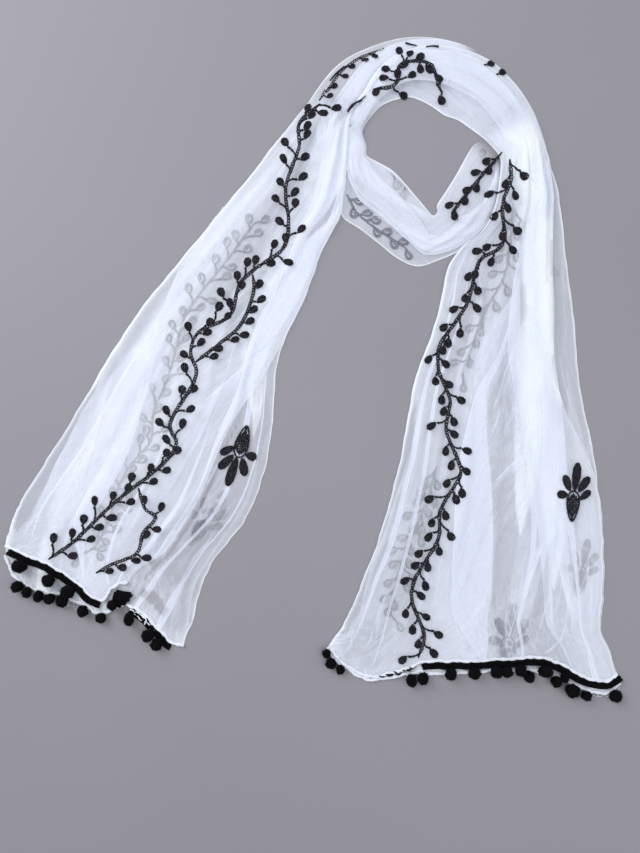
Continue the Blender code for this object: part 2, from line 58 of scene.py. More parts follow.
# %% A socket that can be added and multiplied
class Socket:
    """One output of a node; a sum or a product of sockets adds its Math node."""

    def __init__(self, finish, output):
        self.finish = finish
        self.output = output

    def maths(self, operation, *values):
        return self.finish.node("ShaderNodeMath", {"operation": operation}, dict(enumerate(values)))

    def __add__(self, other):
        return self.maths("ADD", self, other)

    __radd__ = __add__

    def __mul__(self, other):
        return self.maths("MULTIPLY", self, other)

    __rmul__ = __mul__

    def __sub__(self, other):
        return self.maths("SUBTRACT", self, other)

    def __rsub__(self, other):
        return self.maths("SUBTRACT", other, self)

    def clamped(self, low=0.0, high=1.0):
        return self.maths("MINIMUM", self.maths("MAXIMUM", self, low), high)

    def line(self, sharp):
        """1 along the lines where a noise passes its middle value, falling off to both sides."""
        return (1 - self.maths("ABSOLUTE", self - 0.5) * sharp).clamped()


# %% A finish and its nodes
class Finish:
    """A node material with one shader, and one way to add any node to it."""

    def __init__(self, name, **uniform):
        self.material = bpy.data.materials.new(name)
        self.material.use_nodes = True
        self.tree = self.material.node_tree
        self.shader = self.tree.nodes["Principled BSDF"]
        for socket, value in uniform.items():
            self.shader.inputs[socket.replace("_", " ")].default_value = value

    def node(self, kind, settings=None, inputs=None, output=0):
        node = self.tree.nodes.new(kind)
        for key, value in (settings or {}).items():
            setattr(node, key, value)
        for key, value in (inputs or {}).items():
            self.join(value, node.inputs[key])
        return Socket(self, node.outputs[output])

    def join(self, value, socket):
        if isinstance(value, Socket):
            self.tree.links.new(value.output, socket)
        else:
            socket.default_value = value

    def feed(self, socket, value):
        self.join(value, self.shader.inputs[socket])

    def place(self):
        """A point's place on its piece, before the piece was moved."""
        return self.node("ShaderNodeTexCoord", {}, output=3)

    def attribute(self, name, output=2):
        return self.node("ShaderNodeAttribute", {"attribute_name": name}, output=output)

    def stretched(self, place, scale):
        """A place scaled by a different amount along each axis."""
        return self.node("ShaderNodeVectorMath", {"operation": "MULTIPLY"}, {0: place, 1: scale})

    def noise(self, place, scale, detail=2.0, rough=0.5, bent=0.0):
        inputs = {"Vector": place, "Scale": scale, "Detail": detail, "Roughness": rough, "Distortion": bent}
        return self.node("ShaderNodeTexNoise", {}, inputs)

    def mix(self, share, first, second):
        return self.node("ShaderNodeMix", {"data_type": "RGBA"}, {0: share, 6: first, 7: second}, output=2)

    def bump(self, height, depth, strength=1.0):
        inputs = {"Height": height, "Distance": depth, "Strength": strength}
        return self.node("ShaderNodeBump", {}, inputs)


# %% [markdown]
# ## Camera, light and floor
# The stole is seen from straight above, so the camera looks down the Z axis. White cloth
# needs soft, nearly shadowless light from all sides, and one broad lamp from the upper left
# that is a little stronger, because only a slanting light draws the low folds. The floor is
# pale, yet darker than white, so that sheer white cloth still shows against it.

# %% The camera
SENSOR = 36           # millimetres, as is the lens
LENS = 28.0
CAMERA_PLACE = (0.0086, -0.06025, 0.730)
scene = bpy.context.scene
scene.view_settings.view_transform = "Standard"
camera_data = bpy.data.cameras.new("camera")
camera_data.sensor_width = SENSOR
camera_data.lens = LENS
camera = bpy.data.objects.new("camera", camera_data)
camera.location = CAMERA_PLACE
scene.collection.objects.link(camera)
scene.camera = camera
print("the camera sees", round(CAMERA_PLACE[2] * SENSOR / LENS, 3), "m of floor across its longer side")

# %% Soft light
Lamp = namedtuple("Lamp", "place size power")
LAMPS = {
    "key_lamp": Lamp((-1.1, 0.9, 1.25), 1.3, 23.0),
    "fill_lamp": Lamp((1.2, -0.5, 1.5), 1.8, 10.0),
}
LAMP_COLOUR = (1.0, 0.99, 0.98)
ROOM_COLOUR = (0.93, 0.95, 1.0, 1)
ROOM_LIGHT = 0.56
for name, lamp in LAMPS.items():
    data = bpy.data.lights.new(name, "AREA")
    data.size = lamp.size
    data.energy = lamp.power
    data.color = LAMP_COLOUR
    light = bpy.data.objects.new(name, data)
    light.location = lamp.place
    light.rotation_euler = (-Vector(lamp.place)).to_track_quat("-Z", "Y").to_euler()
    scene.collection.objects.link(light)
world = bpy.data.worlds.new("room")
world.use_nodes = True
backdrop = world.node_tree.nodes["Background"]
backdrop.inputs["Color"].default_value = ROOM_COLOUR
backdrop.inputs["Strength"].default_value = ROOM_LIGHT
scene.world = world
print("lamps:", list(LAMPS))

# %% The floor
FLOOR_DARK = (0.285, 0.278, 0.310, 1)
FLOOR_LIGHT = (0.312, 0.304, 0.337, 1)
FLOOR_CLOUDS = 2.5
FLOOR_DROP = 0.0004   # the floor lies this far under the stole, so that the two never touch


def floor_finish():
    finish = Finish("pale_floor", Roughness=0.7)
    clouds = finish.noise(finish.place(), FLOOR_CLOUDS, 3.0)
    finish.feed("Base Color", finish.mix(clouds, FLOOR_DARK, FLOOR_LIGHT))
    return finish.material


bpy.ops.mesh.primitive_plane_add(size=6, location=(0, 0, -FLOOR_DROP))
floor = bpy.context.object
floor.name = "floor"
floor.data.materials.append(floor_finish())
print("floor:", tuple(round(side, 2) for side in floor.dimensions[:2]), "m")

# %% [markdown]
# ## The chiffon
# One layer of chiffon lets about half of what lies under it through. The share that it hides
# is worked out for each point of the mesh (more along a fold, less where the cloth is pulled
# thin) and kept there as `cover`. The finish only adds what is finer than the mesh: the uneven
# density of the yarn, which runs in long streaks, and the fine pebble of the crepe weave.
# The point's place on the flat cloth is kept as `lay`, so that streaks follow the cloth.

# %% Chiffon finish
SINGLE_COOL = (0.800, 0.848, 0.972, 1)
SINGLE_WARM = (0.840, 0.878, 0.976, 1)
FOLDED_WHITE = (0.905, 0.965, 1.0, 1)
CLEAR_TO_SHADOWS = 0.8      # the share of its cover that the cloth loses to shadow rays
WHITE_FROM = 0.52           # the cover from which a layer's own folds look whiter


def fold_marks(finish, lay, creased):
    """Thin bright lines: long folds, slanting folds and, on crushed cloth, a net of creases."""
    long_fold = finish.noise(finish.stretched(lay, (1.0, 0.14, 1.0)), 52, 1.0, 0.4, 0.35)
    slant_fold = finish.noise(finish.stretched(lay, (1.0, 0.45, 1.0)), 34, 1.0, 0.4, 1.1)
    crossed = finish.noise(finish.stretched(lay, (1.0, 0.22, 1.0)), 75, 1.5, 0.5, 1.4)
    patch = finish.noise(lay, 16, 1.0)
    folds = long_fold.line(22) * (patch * 1.6 - 0.35).clamped()
    folds = folds + slant_fold.line(18) * (1.1 - patch * 1.5).clamped()
    return folds * 0.36 + crossed.line(14) * creased * 0.55


def chiffon_finish():
    finish = Finish("chiffon", Roughness=0.62, Sheen_Weight=0.12, Sheen_Roughness=0.4)
    lay = finish.attribute("lay", output=1)
    cover = finish.attribute("cover")
    streak = finish.noise(finish.stretched(lay, (1.0, 0.045, 1.0)), 330, 3.0, 0.6)
    fine = finish.noise(finish.stretched(lay, (1.0, 0.16, 1.0)), 900)
    pebble = finish.noise(lay, 620, 2.0, 0.7)
    crumple = finish.noise(finish.stretched(lay, (1.0, 0.5, 1.0)), 120, 2.0, 0.6, 0.6)
    marks = fold_marks(finish, lay, finish.attribute("creased"))
    density = 0.53 + 0.34 * streak + 0.12 * fine + 0.26 * pebble + 0.20 * crumple + marks
    shadow_ray = finish.node("ShaderNodeLightPath", {}, output=1)
    finish.feed("Alpha", (cover * density).clamped() * (1 - CLEAR_TO_SHADOWS * shadow_ray))
    single = finish.mix(finish.noise(lay, 14), SINGLE_COOL, SINGLE_WARM)
    whiter = ((cover - WHITE_FROM) * 2.2).clamped()
    finish.feed("Base Color", finish.mix(whiter, single, FOLDED_WHITE))
    height = 0.5 * pebble + 0.6 * streak + 1.6 * crumple + 2.2 * marks
    finish.feed("Normal", finish.bump(height, 0.0007, 0.55))
    return finish.material


chiffon = chiffon_finish()
print("chiffon:", len(chiffon.node_tree.nodes), "nodes")

# %% [markdown]
# ## Curves for the cloth
# A stretch of cloth is told by cross sections: its left edge, its right edge and how high the
# bunched layers stand in the middle. A smooth curve through them gives every place between.
# All tables are in millimetres, seen from above.

# %% Small helpers
MM = 0.001
CENTRE = Vector((3.5, -5.75, 0))    # the middle of the laid stole, in the tables below


def to_scene(point):
    """From a table's millimetres to the scene's metres."""
    return (Vector(point) - CENTRE) * MM


def clamp(value):
    return min(1.0, max(0.0, value))


def smooth_step(t):
    t = clamp(t)
    return t * t * (3 - 2 * t)


def in_and_out(run, share):
    """0 at both ends of a run, 1 from this share of it on."""
    return smooth_step(run / share) * smooth_step((1 - run) / share)


def uneven(x, y, z):
    """Soft noise between about -0.5 and 0.5, always the same at the same place."""
    return noise.noise(Vector((x, y, z)))


def left_of(way):
    return Vector((-way.y, way.x))


def table(kind, *rows):
    """A table whose rows are all of one kind."""
    return [kind(*row) for row in rows]


# %% Smooth curves through a few values
def hermite(a, b, slope_a, slope_b, t):
    t2 = t * t
    t3 = t2 * t
    return (
        (2 * t3 - 3 * t2 + 1) * a
        + (t3 - 2 * t2 + t) * slope_a
        + (3 * t2 - 2 * t3) * b
        + (t3 - t2) * slope_b
    )


def through(values, x):
    """A curve through {x: y} that never overshoots and is level past its ends."""
    points = sorted(values.items())
    if x <= points[0][0]:
        return points[0][1]
    if x >= points[-1][0]:
        return points[-1][1]
    k = max(i for i in range(len(points) - 1) if points[i][0] <= x)
    (x0, y0), (x1, y1) = points[k], points[k + 1]
    span = x1 - x0
    slope = (y1 - y0) / span
    before = (y0 - points[k - 1][1]) / (x0 - points[k - 1][0]) if k > 0 else slope
    after = (points[k + 2][1] - y1) / (points[k + 2][0] - x1) if k + 2 < len(points) else slope
    start = 0.5 * (before + slope) if before * slope > 0 else 0.0
    end = 0.5 * (after + slope) if after * slope > 0 else 0.0
    return hermite(y0, y1, start * span, end * span, (x - x0) / span)


def curve_between(points, k, t):
    """A smooth curve through points, at a fraction t of the way from point k to the next."""
    a, b = points[k], points[k + 1]
    before = points[k - 1] if k > 0 else 2 * a - b
    after = points[k + 2] if k + 2 < len(points) else 2 * b - a
    return hermite(a, b, (b - before) / 2, (after - a) / 2, t)


def smooth_line(waypoints, step):
    """Points at an even step along a smooth line through waypoints."""
    points = [Vector(waypoint) for waypoint in waypoints]
    fine = [curve_between(points, k, t / 20) for k in range(len(points) - 1) for t in range(20)]
    fine.append(points[-1])
    line = [fine[0]]
    wanted = step
    reached = 0.0
    for a, b in zip(fine, fine[1:]):
        length = (b - a).length
        while length > 1e-9 and reached + length >= wanted:
            line.append(a.lerp(b, (wanted - reached) / length))
            wanted += step
        reached += length
    return line


print("halfway between 0 and 1:", through({0: 0.0, 1: 1.0}, 0.5))

# %% A stretch of cloth
Section = namedtuple("Section", "left_x left_y right_x right_y bulk")


class Stretch:
    """A place on a stretch of cloth is a fraction across and a distance along."""

    def __init__(self, sections):
        self.left = [Vector((s.left_x, s.left_y)) for s in sections]
        self.right = [Vector((s.right_x, s.right_y)) for s in sections]
        self.bulks = {k: s.bulk for k, s in enumerate(sections)}
        self.last = len(sections) - 1
        middles = [(a + b) / 2 for a, b in zip(self.left, self.right)]
        self.reached = [0.0]
        for a, b in zip(middles, middles[1:]):
            self.reached.append(self.reached[-1] + (b - a).length)
        self.length = self.reached[-1]

    def section_at(self, along):
        if along <= 0:
            return along / self.reached[1]
        for k in range(1, len(self.reached)):
            if along <= self.reached[k]:
                return k - 1 + (along - self.reached[k - 1]) / (self.reached[k] - self.reached[k - 1])
        return float(self.last)

    def edge(self, points, section):
        if section <= 0:
            return points[0] + (points[1] - points[0]) * section
        k = min(int(section), self.last - 1)
        return curve_between(points, k, section - k)

    def place(self, across, along):
        section = self.section_at(along)
        left = self.edge(self.left, section)
        return left + (self.edge(self.right, section) - left) * across

    def width(self, along):
        return (self.place(1, along) - self.place(0, along)).length

    def bulk(self, along):
        return through(self.bulks, max(0.0, self.section_at(along)))

    def steps(self, step):
        """Distances along the stretch, at an even step of about this length."""
        count = round(self.length / step)
        return [self.length * r / count for r in range(count + 1)]


# %% Soft ridges
Ridge = namedtuple("Ridge", "from_section to_section across_from across_to width height")
RIDGE_ENDS = 0.18     # the share of its length over which a ridge rises from the cloth


def ridge_height(ridges, section, across):
    """How far the soft ridges lift the cloth at a place."""
    height = 0.0
    for ridge in ridges:
        run = (section - ridge.from_section) / (ridge.to_section - ridge.from_section)
        if 0 < run < 1:
            centre = ridge.across_from + (ridge.across_to - ridge.across_from) * run
            side = abs(across - centre) / ridge.width
            if side < 1:
                height += ridge.height * in_and_out(run, RIDGE_ENDS) * (1 + math.cos(math.pi * side)) / 2
    return height


# %% [markdown]
# ## A cloth that is folded as it is drawn
# A pleat in chiffon is the cloth turning back on itself: seen from above it shows as a band of
# three layers between two bright lines. A texture of lines would look flat from the side, and
# a cloth simulation would not lay a pleat at its exact place. So each row of the mesh is a path
# that goes forward to the pleat's front line, back under it by the width of the lap, and
# forward again. Where the lap shrinks to nothing the pleat opens out, as it does toward a hem.

# %% Columns between two turns
COLUMN = 2.3          # millimetres between two columns of the mesh
LINE = 0.9            # width of the bright line that a fold makes


def spread(start, end, count, width):
    """Fractions across between two turns, with one column close to each turn."""
    length = abs(end - start) * width
    edge = min(LINE, length / 3) / length if length > 1e-6 else 0.3
    steps = [0.0, edge]
    for k in range(1, count - 2):
        steps.append(edge + (1 - 2 * edge) * k / (count - 2))
    steps += [1 - edge, 1.0]
    return [start + (end - start) * s for s in steps]


def columns_between(stretch, turns_at, column, fewest):
    """How many columns the mesh needs between each two turns, at the widest place."""
    reaches = []
    for k in range(25):
        along = stretch.length * k / 24
        width = stretch.width(along)
        turns = turns_at(stretch.section_at(along), width)
        reaches.append([abs(b - a) * width for a, b in zip(turns, turns[1:])])
    return [max(fewest, round(max(reach) / column)) for reach in zip(*reaches)]


print("columns across 40 mm:", [round(40 * s, 1) for s in spread(0, 1, 8, 40)])

# %% One pleated layer
LIFT = 0.40           # a fold's height over the layer under it
SMALLEST_LAP = 0.15
OPEN_LAP = 2.0        # a lap narrower than this makes a fainter line
SETTLE = 9.0          # how far past a pleat the cloth above it comes down again
Knife = namedtuple("Knife", "front lap")
Node = namedtuple("Node", "across extra crease")


class Pleated:
    """One layer of cloth from its start to its end across, with its pleats."""

    def __init__(self, stretch, start, end, knives):
        self.start = start
        self.end = end
        self.knives = knives
        self.counts = columns_between(stretch, self.turns, COLUMN, 4)

    def turns(self, section, width):
        places = [through(self.start, section)]
        for k, knife in enumerate(self.knives):
            front = through(knife.front, section) + 0.006 * uneven(section * 0.9, k * 7.3, 1.7)
            lap = max(SMALLEST_LAP, through(knife.lap, section)) / width
            places += [front, front - lap]
        places.append(through(self.end, section))
        return places

    def lift_over(self, j, section, across, turns, width):
        """The height that the laps already passed, and a turn back, add to run j of a row."""
        extra = LIFT if j % 2 else 0.0
        for knife, front in zip(self.knives[: j // 2], turns[1::2]):
            past = (across - front) * width
            strength = smooth_step(through(knife.lap, section) / 3.0)
            extra += 2 * LIFT * (1 - smooth_step(past / SETTLE)) * strength
        return extra

    def crease_at(self, j, k, section):
        """How bright the line is at the first or the last column of run j."""
        starts = k == 0 and j > 0
        ends = k == self.counts[j] and j < len(self.counts) - 1
        if not (starts or ends):
            return 0.0
        knife = self.knives[(j - 1) // 2 if k == 0 else j // 2]
        strength = 0.62 + 0.75 * uneven(section * 0.8, j * 3.3, 5.5)
        return smooth_step(through(knife.lap, section) / OPEN_LAP) * strength

    def row(self, section, width):
        turns = self.turns(section, width)
        nodes = []
        for j, count in enumerate(self.counts):
            for k, across in enumerate(spread(turns[j], turns[j + 1], count, width)):
                extra = self.lift_over(j, section, across, turns, width)
                nodes.append(Node(across, extra, self.crease_at(j, k, section)))
        return nodes


# %% [markdown]
# ## Rows of points become a sheet
# Chiffon has no thickness that an eye could see, so each piece of cloth is a single sheet. The
# rows give it its broad layers. Each point also carries its cover, how crushed the cloth is
# there, and its place on the flat cloth: three attributes that the finish reads.

# %% Make a mesh a piece of the scene
def make_piece(name, points, faces, material):
    mesh = bpy.data.meshes.new(name)
    mesh.from_pydata([to_scene(point) for point in points], [], faces)
    mesh.shade_smooth()
    mesh.materials.append(material)
    piece = bpy.data.objects.new(name, mesh)
    scene.collection.objects.link(piece)
    mesh.calc_loop_triangles()
    print(f"{name}: {len(mesh.loop_triangles)} triangles")
    return piece


# %% A sheet
ROW = 4.0             # millimetres between two rows of the mesh
FOLD_ANGLE = math.radians(55)
Spot = namedtuple("Spot", "x y z cover creased")


class Sheet:
    def __init__(self):
        self.spots = []
        self.faces = []
        self.lay = []

    def add(self, rows, cut_width, row_step=ROW):
        """Rows of spots. The lay is the place on the flat cloth, in metres."""
        first = len(self.spots)
        columns = len(rows[0])
        for r, row in enumerate(rows):
            reached = [0.0]
            for p, q in zip(row, row[1:]):
                reached.append(reached[-1] + (Vector(q[:3]) - Vector(p[:3])).length)
            self.spots += row
            for distance in reached:
                self.lay += [cut_width * distance / reached[-1], r * row_step * MM, 0.0]
        for r in range(len(rows) - 1):
            for c in range(columns - 1):
                k = first + r * columns + c
                self.faces.append((k, k + 1, k + columns + 1, k + columns))

    def make(self, name, material):
        piece = make_piece(name, [spot[:3] for spot in self.spots], self.faces, material)
        mesh = piece.data
        mesh.set_sharp_from_angle(angle=FOLD_ANGLE)
        for attribute in ("cover", "creased"):
            values = [getattr(spot, attribute) for spot in self.spots]
            mesh.attributes.new(attribute, "FLOAT", "POINT").data.foreach_set("value", values)
        mesh.attributes.new("lay", "FLOAT_VECTOR", "POINT").data.foreach_set("vector", self.lay)
        return piece


# %% [markdown]
# ## Small folds laid on the sheet
# Smaller gathers are ribbons of cloth laid on the sheet, each along a listed line: at
# the line the ribbon starts sharply, like the edge of a fold, and to one side it thins out
# softly into the cloth. A ray dropped on the sheet finds its height under each point.

# %% Ribbons
# A fold is soft to the left of its line's way when wide is above 0, to the right when below.
Fold = namedtuple("Fold", "line wide share")
FOLD_STEP = 2.6       # millimetres between two rows of a ribbon
FOLD_COLUMN = 2.4
FOLD_START = 0.5      # the first column lies this close to the sharp edge
FOLD_ENDS = 0.22      # the share of its length over which a fold fades in and out
FOLD_CREASED = 0.25
HIGH_UP = Vector((0, 0, 0.1))
DOWN = Vector((0, 0, -1))


def fold_row(tree, fold, line, k, offsets):
    """One row of a ribbon: across the fold, at point k of its line."""
    spot = line[k]
    reach = abs(fold.wide)
    way = line[min(k + 1, len(line) - 1)] - line[max(k - 1, 0)]
    side = left_of(way).normalized() * (1 if fold.wide > 0 else -1)
    fade = in_and_out(k / max(1, len(line) - 1), FOLD_ENDS)
    dense = fold.share * fade * (1 + min(0.5, 3.0 / reach) * uneven(spot.x / 22, spot.y / 22, 6.1))
    row = []
    for offset in offsets:
        place = spot + side * offset * (0.3 + 0.7 * fade)
        hit = tree.ray_cast(to_scene((place.x, place.y, 0)) + HIGH_UP, DOWN)[0]
        softer = 1 - smooth_step(offset / reach)
        cover = dense * softer if offset > 0 and hit else 0.0
        rise = 0.25 + 0.55 * fade * softer * min(1.0, offset * 2)
        row.append(Spot(place.x, place.y, (hit.z / MM if hit else 1.0) + rise, cover, FOLD_CREASED))
    return row


def add_folds(sheet, folds):
    tree = BVHTree.FromPolygons([to_scene(spot[:3]) for spot in sheet.spots], sheet.faces)
    for fold in folds:
        line = smooth_line(fold.line, FOLD_STEP)
        reach = abs(fold.wide)
        inner = max(3, round(reach / FOLD_COLUMN))
        offsets = [0.0, FOLD_START]
        offsets += [FOLD_START + (reach - FOLD_START) * (k + 1) / inner for k in range(inner)]
        rows = [fold_row(tree, fold, line, k, offsets) for k in range(len(line))]
        sheet.add(rows, reach * MM * 1.3, FOLD_STEP)


# %% A cloth with its folds, and what makes it uneven
def cloth_piece(name, rows, cut_width, folds):
    sheet = Sheet()
    sheet.add(rows, cut_width)
    add_folds(sheet, folds)
    return sheet.make(name, chiffon)


def swell(across_mm, along, layer):
    """Broad soft hills, a hand apart."""
    return 1.0 + uneven(across_mm / 31, along / 120, layer * 3.7 + 0.5)


def wrinkle(across_mm, along, layer):
    """Small uneven waves that run along the cloth, different on each layer."""
    long_wave = uneven(across_mm / 17, along / 95, layer * 5.1)
    short_wave = uneven(across_mm / 6.5, along / 42, layer * 5.1 + 2)
    return 0.85 * long_wave + 0.4 * short_wave


# %% [markdown]
# ## The two falls
# Each fall is one sheet: the under layer lies on the floor, turns over at the outer edge and
# comes back as the upper layer. The tables repeat the solid model's sections and hem lines.
# Section 0 is near the hem, and the last is where the fall goes under or over the neck.

# %% Sections, hem lines and ridges of the falls
LEFT_FALL = table(
    Section,
    (-332, -219, -137, -306, 0.0),
    (-332, -191, -128, -280, 0.0),
    (-322, -160, -119, -245, 0.0),
    (-305, -130, -104, -212, 0.0),
    (-275, -84, -71, -170, 0.0),
    (-245, -35, -51, -122, 0.2),
    (-215, 16, -40, -64, 0.6),
    (-185, 61, -36, -6, 1.2),
    (-157, 96, -24, 36, 2.0),
    (-128, 131, -4, 75, 3.0),
    (-95, 172, 16, 130, 4.2),
    (-62, 212, 34.5, 166, 5.4),
    (-35, 247, 41, 210, 6.6),
    (-19, 265, 43, 245, 7.6),
    (-13, 274, 44, 262, 8.0),
    (-1, 288, 48, 276, 6.4),
    (10, 303, 57, 292, 5.8),
)
RIGHT_FALL = table(
    Section,
    (23, -306, 341, -346, 0.0),
    (39, -280, 331, -316, 0.0),
    (50, -258, 320, -289, 0.0),
    (62, -228, 322, -254, 0.0),
    (77, -190, 323, -212, 0.0),
    (90, -146, 321, -168, 0.2),
    (101, -103, 316, -120, 0.4),
    (109, -59, 310, -79, 0.8),
    (117, -15, 300, -35, 1.2),
    (133, 28, 294, 18, 2.0),
    (146, 72, 290, 66, 3.0),
    (151.5, 104, 284, 112, 4.0),
    (167, 130, 279, 154, 5.0),
    (189.5, 148, 274, 192, 6.2),
    (203.5, 174, 266, 221, 7.2),
    (208.5, 202, 261, 240, 8.0),
    (210, 230, 257, 250, 8.4),
    (196, 247, 248, 276, 8.6),
    (186, 255, 237, 297, 9.6),
)
# How far each layer's end drops past the first section, against the fraction across.
LEFT_HEM_UPPER = {
    0: -23, 0.14: -24, 0.31: -22, 0.41: -18, 0.48: -10, 0.53: -10, 0.56: -24, 0.64: -39, 1: -39,
}
LEFT_HEM_UNDER = {
    0: -12, 0.04: 4, 0.10: 10, 0.18: 10, 0.30: 4, 0.40: 3, 0.50: 6, 0.56: 3, 0.62: -12, 0.69: -18,
    0.77: -14, 0.88: -4, 0.95: 2, 1: 0,
}
RIGHT_HEM_UPPER = {
    0: 0, 0.06: 14, 0.12: 22, 0.18: 27, 0.25: 18, 0.33: 3, 0.46: -3, 0.60: -9, 0.72: -16, 0.80: -13,
    0.90: 0, 0.95: 0, 1: -9,
}
RIGHT_HEM_UNDER = {
    0: 2, 0.06: 18, 0.12: 26, 0.18: 31, 0.25: 24, 0.33: 17, 0.46: 12, 0.60: 3, 0.72: -2, 0.80: 3,
    0.90: 13, 0.95: 12, 1: 1,
}
# How far the upper layer reaches across, against the section.
LEFT_REACH = {0: 0.64, 1: 0.68, 2: 0.73, 3: 0.77, 4: 0.75, 5: 0.74, 6: 0.80, 7: 0.94, 8: 1.0, 14: 1.0}
RIGHT_REACH = {0: 1, 5: 1, 6: 0.98, 7: 0.92, 8: 0.86, 9: 0.83, 10: 0.84, 12: 0.88, 14: 0.93, 16: 0.97}
LEFT_RIDGES = table(
    Ridge,
    (1.0, 7.5, 0.16, 0.20, 0.070, 2.2),
    (1.5, 9.0, 0.29, 0.33, 0.060, 1.8),
    (2.0, 10.5, 0.41, 0.46, 0.055, 2.0),
    (1.2, 11.5, 0.55, 0.60, 0.055, 2.4),
    (1.6, 8.0, 0.66, 0.82, 0.045, 2.6),
    (6.5, 14.0, 0.10, 0.22, 0.080, 2.2),
    (8.0, 14.0, 0.74, 0.84, 0.075, 2.4),
    (9.5, 14.0, 0.36, 0.40, 0.070, 2.0),
)
RIGHT_RIDGES = table(
    Ridge,
    (7.0, 16.0, 0.78, 0.80, 0.075, 3.2),
    (0.6, 9.5, 0.53, 0.47, 0.045, 2.6),
    (4.0, 9.0, 0.64, 0.55, 0.045, 2.2),
    (0.5, 5.0, 0.68, 0.77, 0.045, 2.4),
    (0.5, 4.2, 0.83, 0.79, 0.045, 2.0),
    (0.8, 8.0, 0.13, 0.07, 0.040, 2.2),
    (0.7, 9.0, 0.24, 0.14, 0.040, 2.0),
    (1.5, 12.0, 0.36, 0.28, 0.055, 2.0),
    (8.5, 16.0, 0.58, 0.52, 0.070, 2.4),
    (11.0, 16.0, 0.22, 0.26, 0.070, 2.0),
)
print("sections:", len(LEFT_FALL), "on the left,", len(RIGHT_FALL), "on the right")

# %% The pleats of each layer: where the front line runs, and the lap under it
LEFT_UPPER_KNIVES = [
    Knife({1: 0.12, 6: 0.13, 10: 0.2, 13: 0.25}, {0: 0, 3: 2, 6: 2, 8: 0}),
    Knife({0: 0.44, 2: 0.375, 4.4: 0.33, 6.4: 0.24, 9: 0.3}, {0: 0, 1: 6, 2: 14, 4: 20, 5.5: 14, 7: 0}),
    Knife({0: 0.56, 3: 0.50, 6: 0.47, 9: 0.5, 13: 0.5}, {0: 0, 1: 2, 4: 3, 6: 0}),
    Knife({0: 0.60, 1: 0.63, 3: 0.70, 5: 0.66, 7: 0.66, 10: 0.72, 14: 0.72},
          {0: 2, 2: 6, 4: 4, 6: 0, 10: 0, 12: 6, 14: 5, 15: 0}),
    Knife({0: 0.62, 3: 0.74, 5: 0.72, 7: 0.90, 9: 0.95, 11: 0.96, 14: 0.96},
          {0: 0, 3: 2, 5: 3, 6: 10, 7: 20, 9: 26, 11: 24, 13: 16, 15: 0}),
]
LEFT_UNDER_KNIVES = [
    Knife({0: 0.30, 5: 0.28, 10: 0.35}, {0: 0, 2: 3, 6: 4, 8: 0}),
    Knife({0: 0.72, 2: 0.80, 4: 0.86, 8: 0.86, 14: 0.86},
          {0: 4, 1: 6, 3: 3, 5: 5, 8: 8, 11: 14, 13: 12, 15: 0}),
    Knife({0: 0.86, 3: 0.93, 7: 0.94, 14: 0.94}, {0: 6, 1: 8, 2.5: 1, 5: 2, 8: 0}),
]
RIGHT_UPPER_KNIVES = [
    Knife({0: 0.06, 6.5: 0.068, 10: 0.09, 16: 0.1}, {0: 0, 1.5: 2, 4: 5, 6.5: 5, 9: 3, 12: 0}),
    Knife({0: 0.17, 6.5: 0.130, 10: 0.17, 16: 0.2}, {0: 0, 2: 3, 6.5: 4, 9: 2, 11: 0}),
    Knife({0: 0.535, 0.6: 0.537, 2.6: 0.536, 3.7: 0.51, 5.7: 0.457, 6.7: 0.43, 7.7: 0.42, 8.9: 0.50,
           10.4: 0.553, 13: 0.5},
          {0: 6, 1: 26, 3: 44, 5.5: 38, 7: 22, 8: 10, 9: 4, 10: 0}),
    Knife({0: 0.67, 1: 0.67, 4.4: 0.69, 5.4: 0.68, 6.5: 0.632, 8.1: 0.60, 10: 0.62, 16: 0.62},
          {0: 3, 1.5: 4, 4: 5, 5.5: 7, 7: 5, 8: 3, 10: 0}),
    Knife({0: 0.84, 2: 0.80, 4.4: 0.76, 6: 0.80, 8: 0.850, 9: 0.822, 10: 0.833, 12: 0.872, 14: 0.922,
           16: 0.96},
          {0: 2, 2: 8, 4.4: 14, 6: 34, 8: 50, 10: 46, 12: 30, 13: 20, 14.4: 0}),
    Knife({0: 0.93, 2: 0.92, 4.4: 0.87, 6: 0.84, 8: 0.856, 9: 0.827, 10: 0.838, 12: 0.876, 14: 0.926,
           16: 0.965},
          {0: 8, 2: 3, 4: 5, 6: 14, 8: 26, 10: 24, 12: 16, 13: 10, 14.4: 0}),
]
RIGHT_UNDER_KNIVES = [
    Knife({0: 0.30, 6: 0.24, 10: 0.3, 16: 0.3}, {0: 0, 2: 4, 5: 8, 9: 6, 12: 4, 15: 0}),
    Knife({0: 0.88, 3: 0.86, 6: 0.83, 8: 0.850, 9: 0.824, 10: 0.835, 12: 0.87, 14: 0.92, 16: 0.96},
          {0: 0, 3: 2, 5: 8, 7: 22, 11: 26, 13: 12, 14.4: 0}),
]
print("pleats on the left:", len(LEFT_UPPER_KNIVES), len(LEFT_UNDER_KNIVES))
print("pleats on the right:", len(RIGHT_UPPER_KNIVES), len(RIGHT_UNDER_KNIVES))
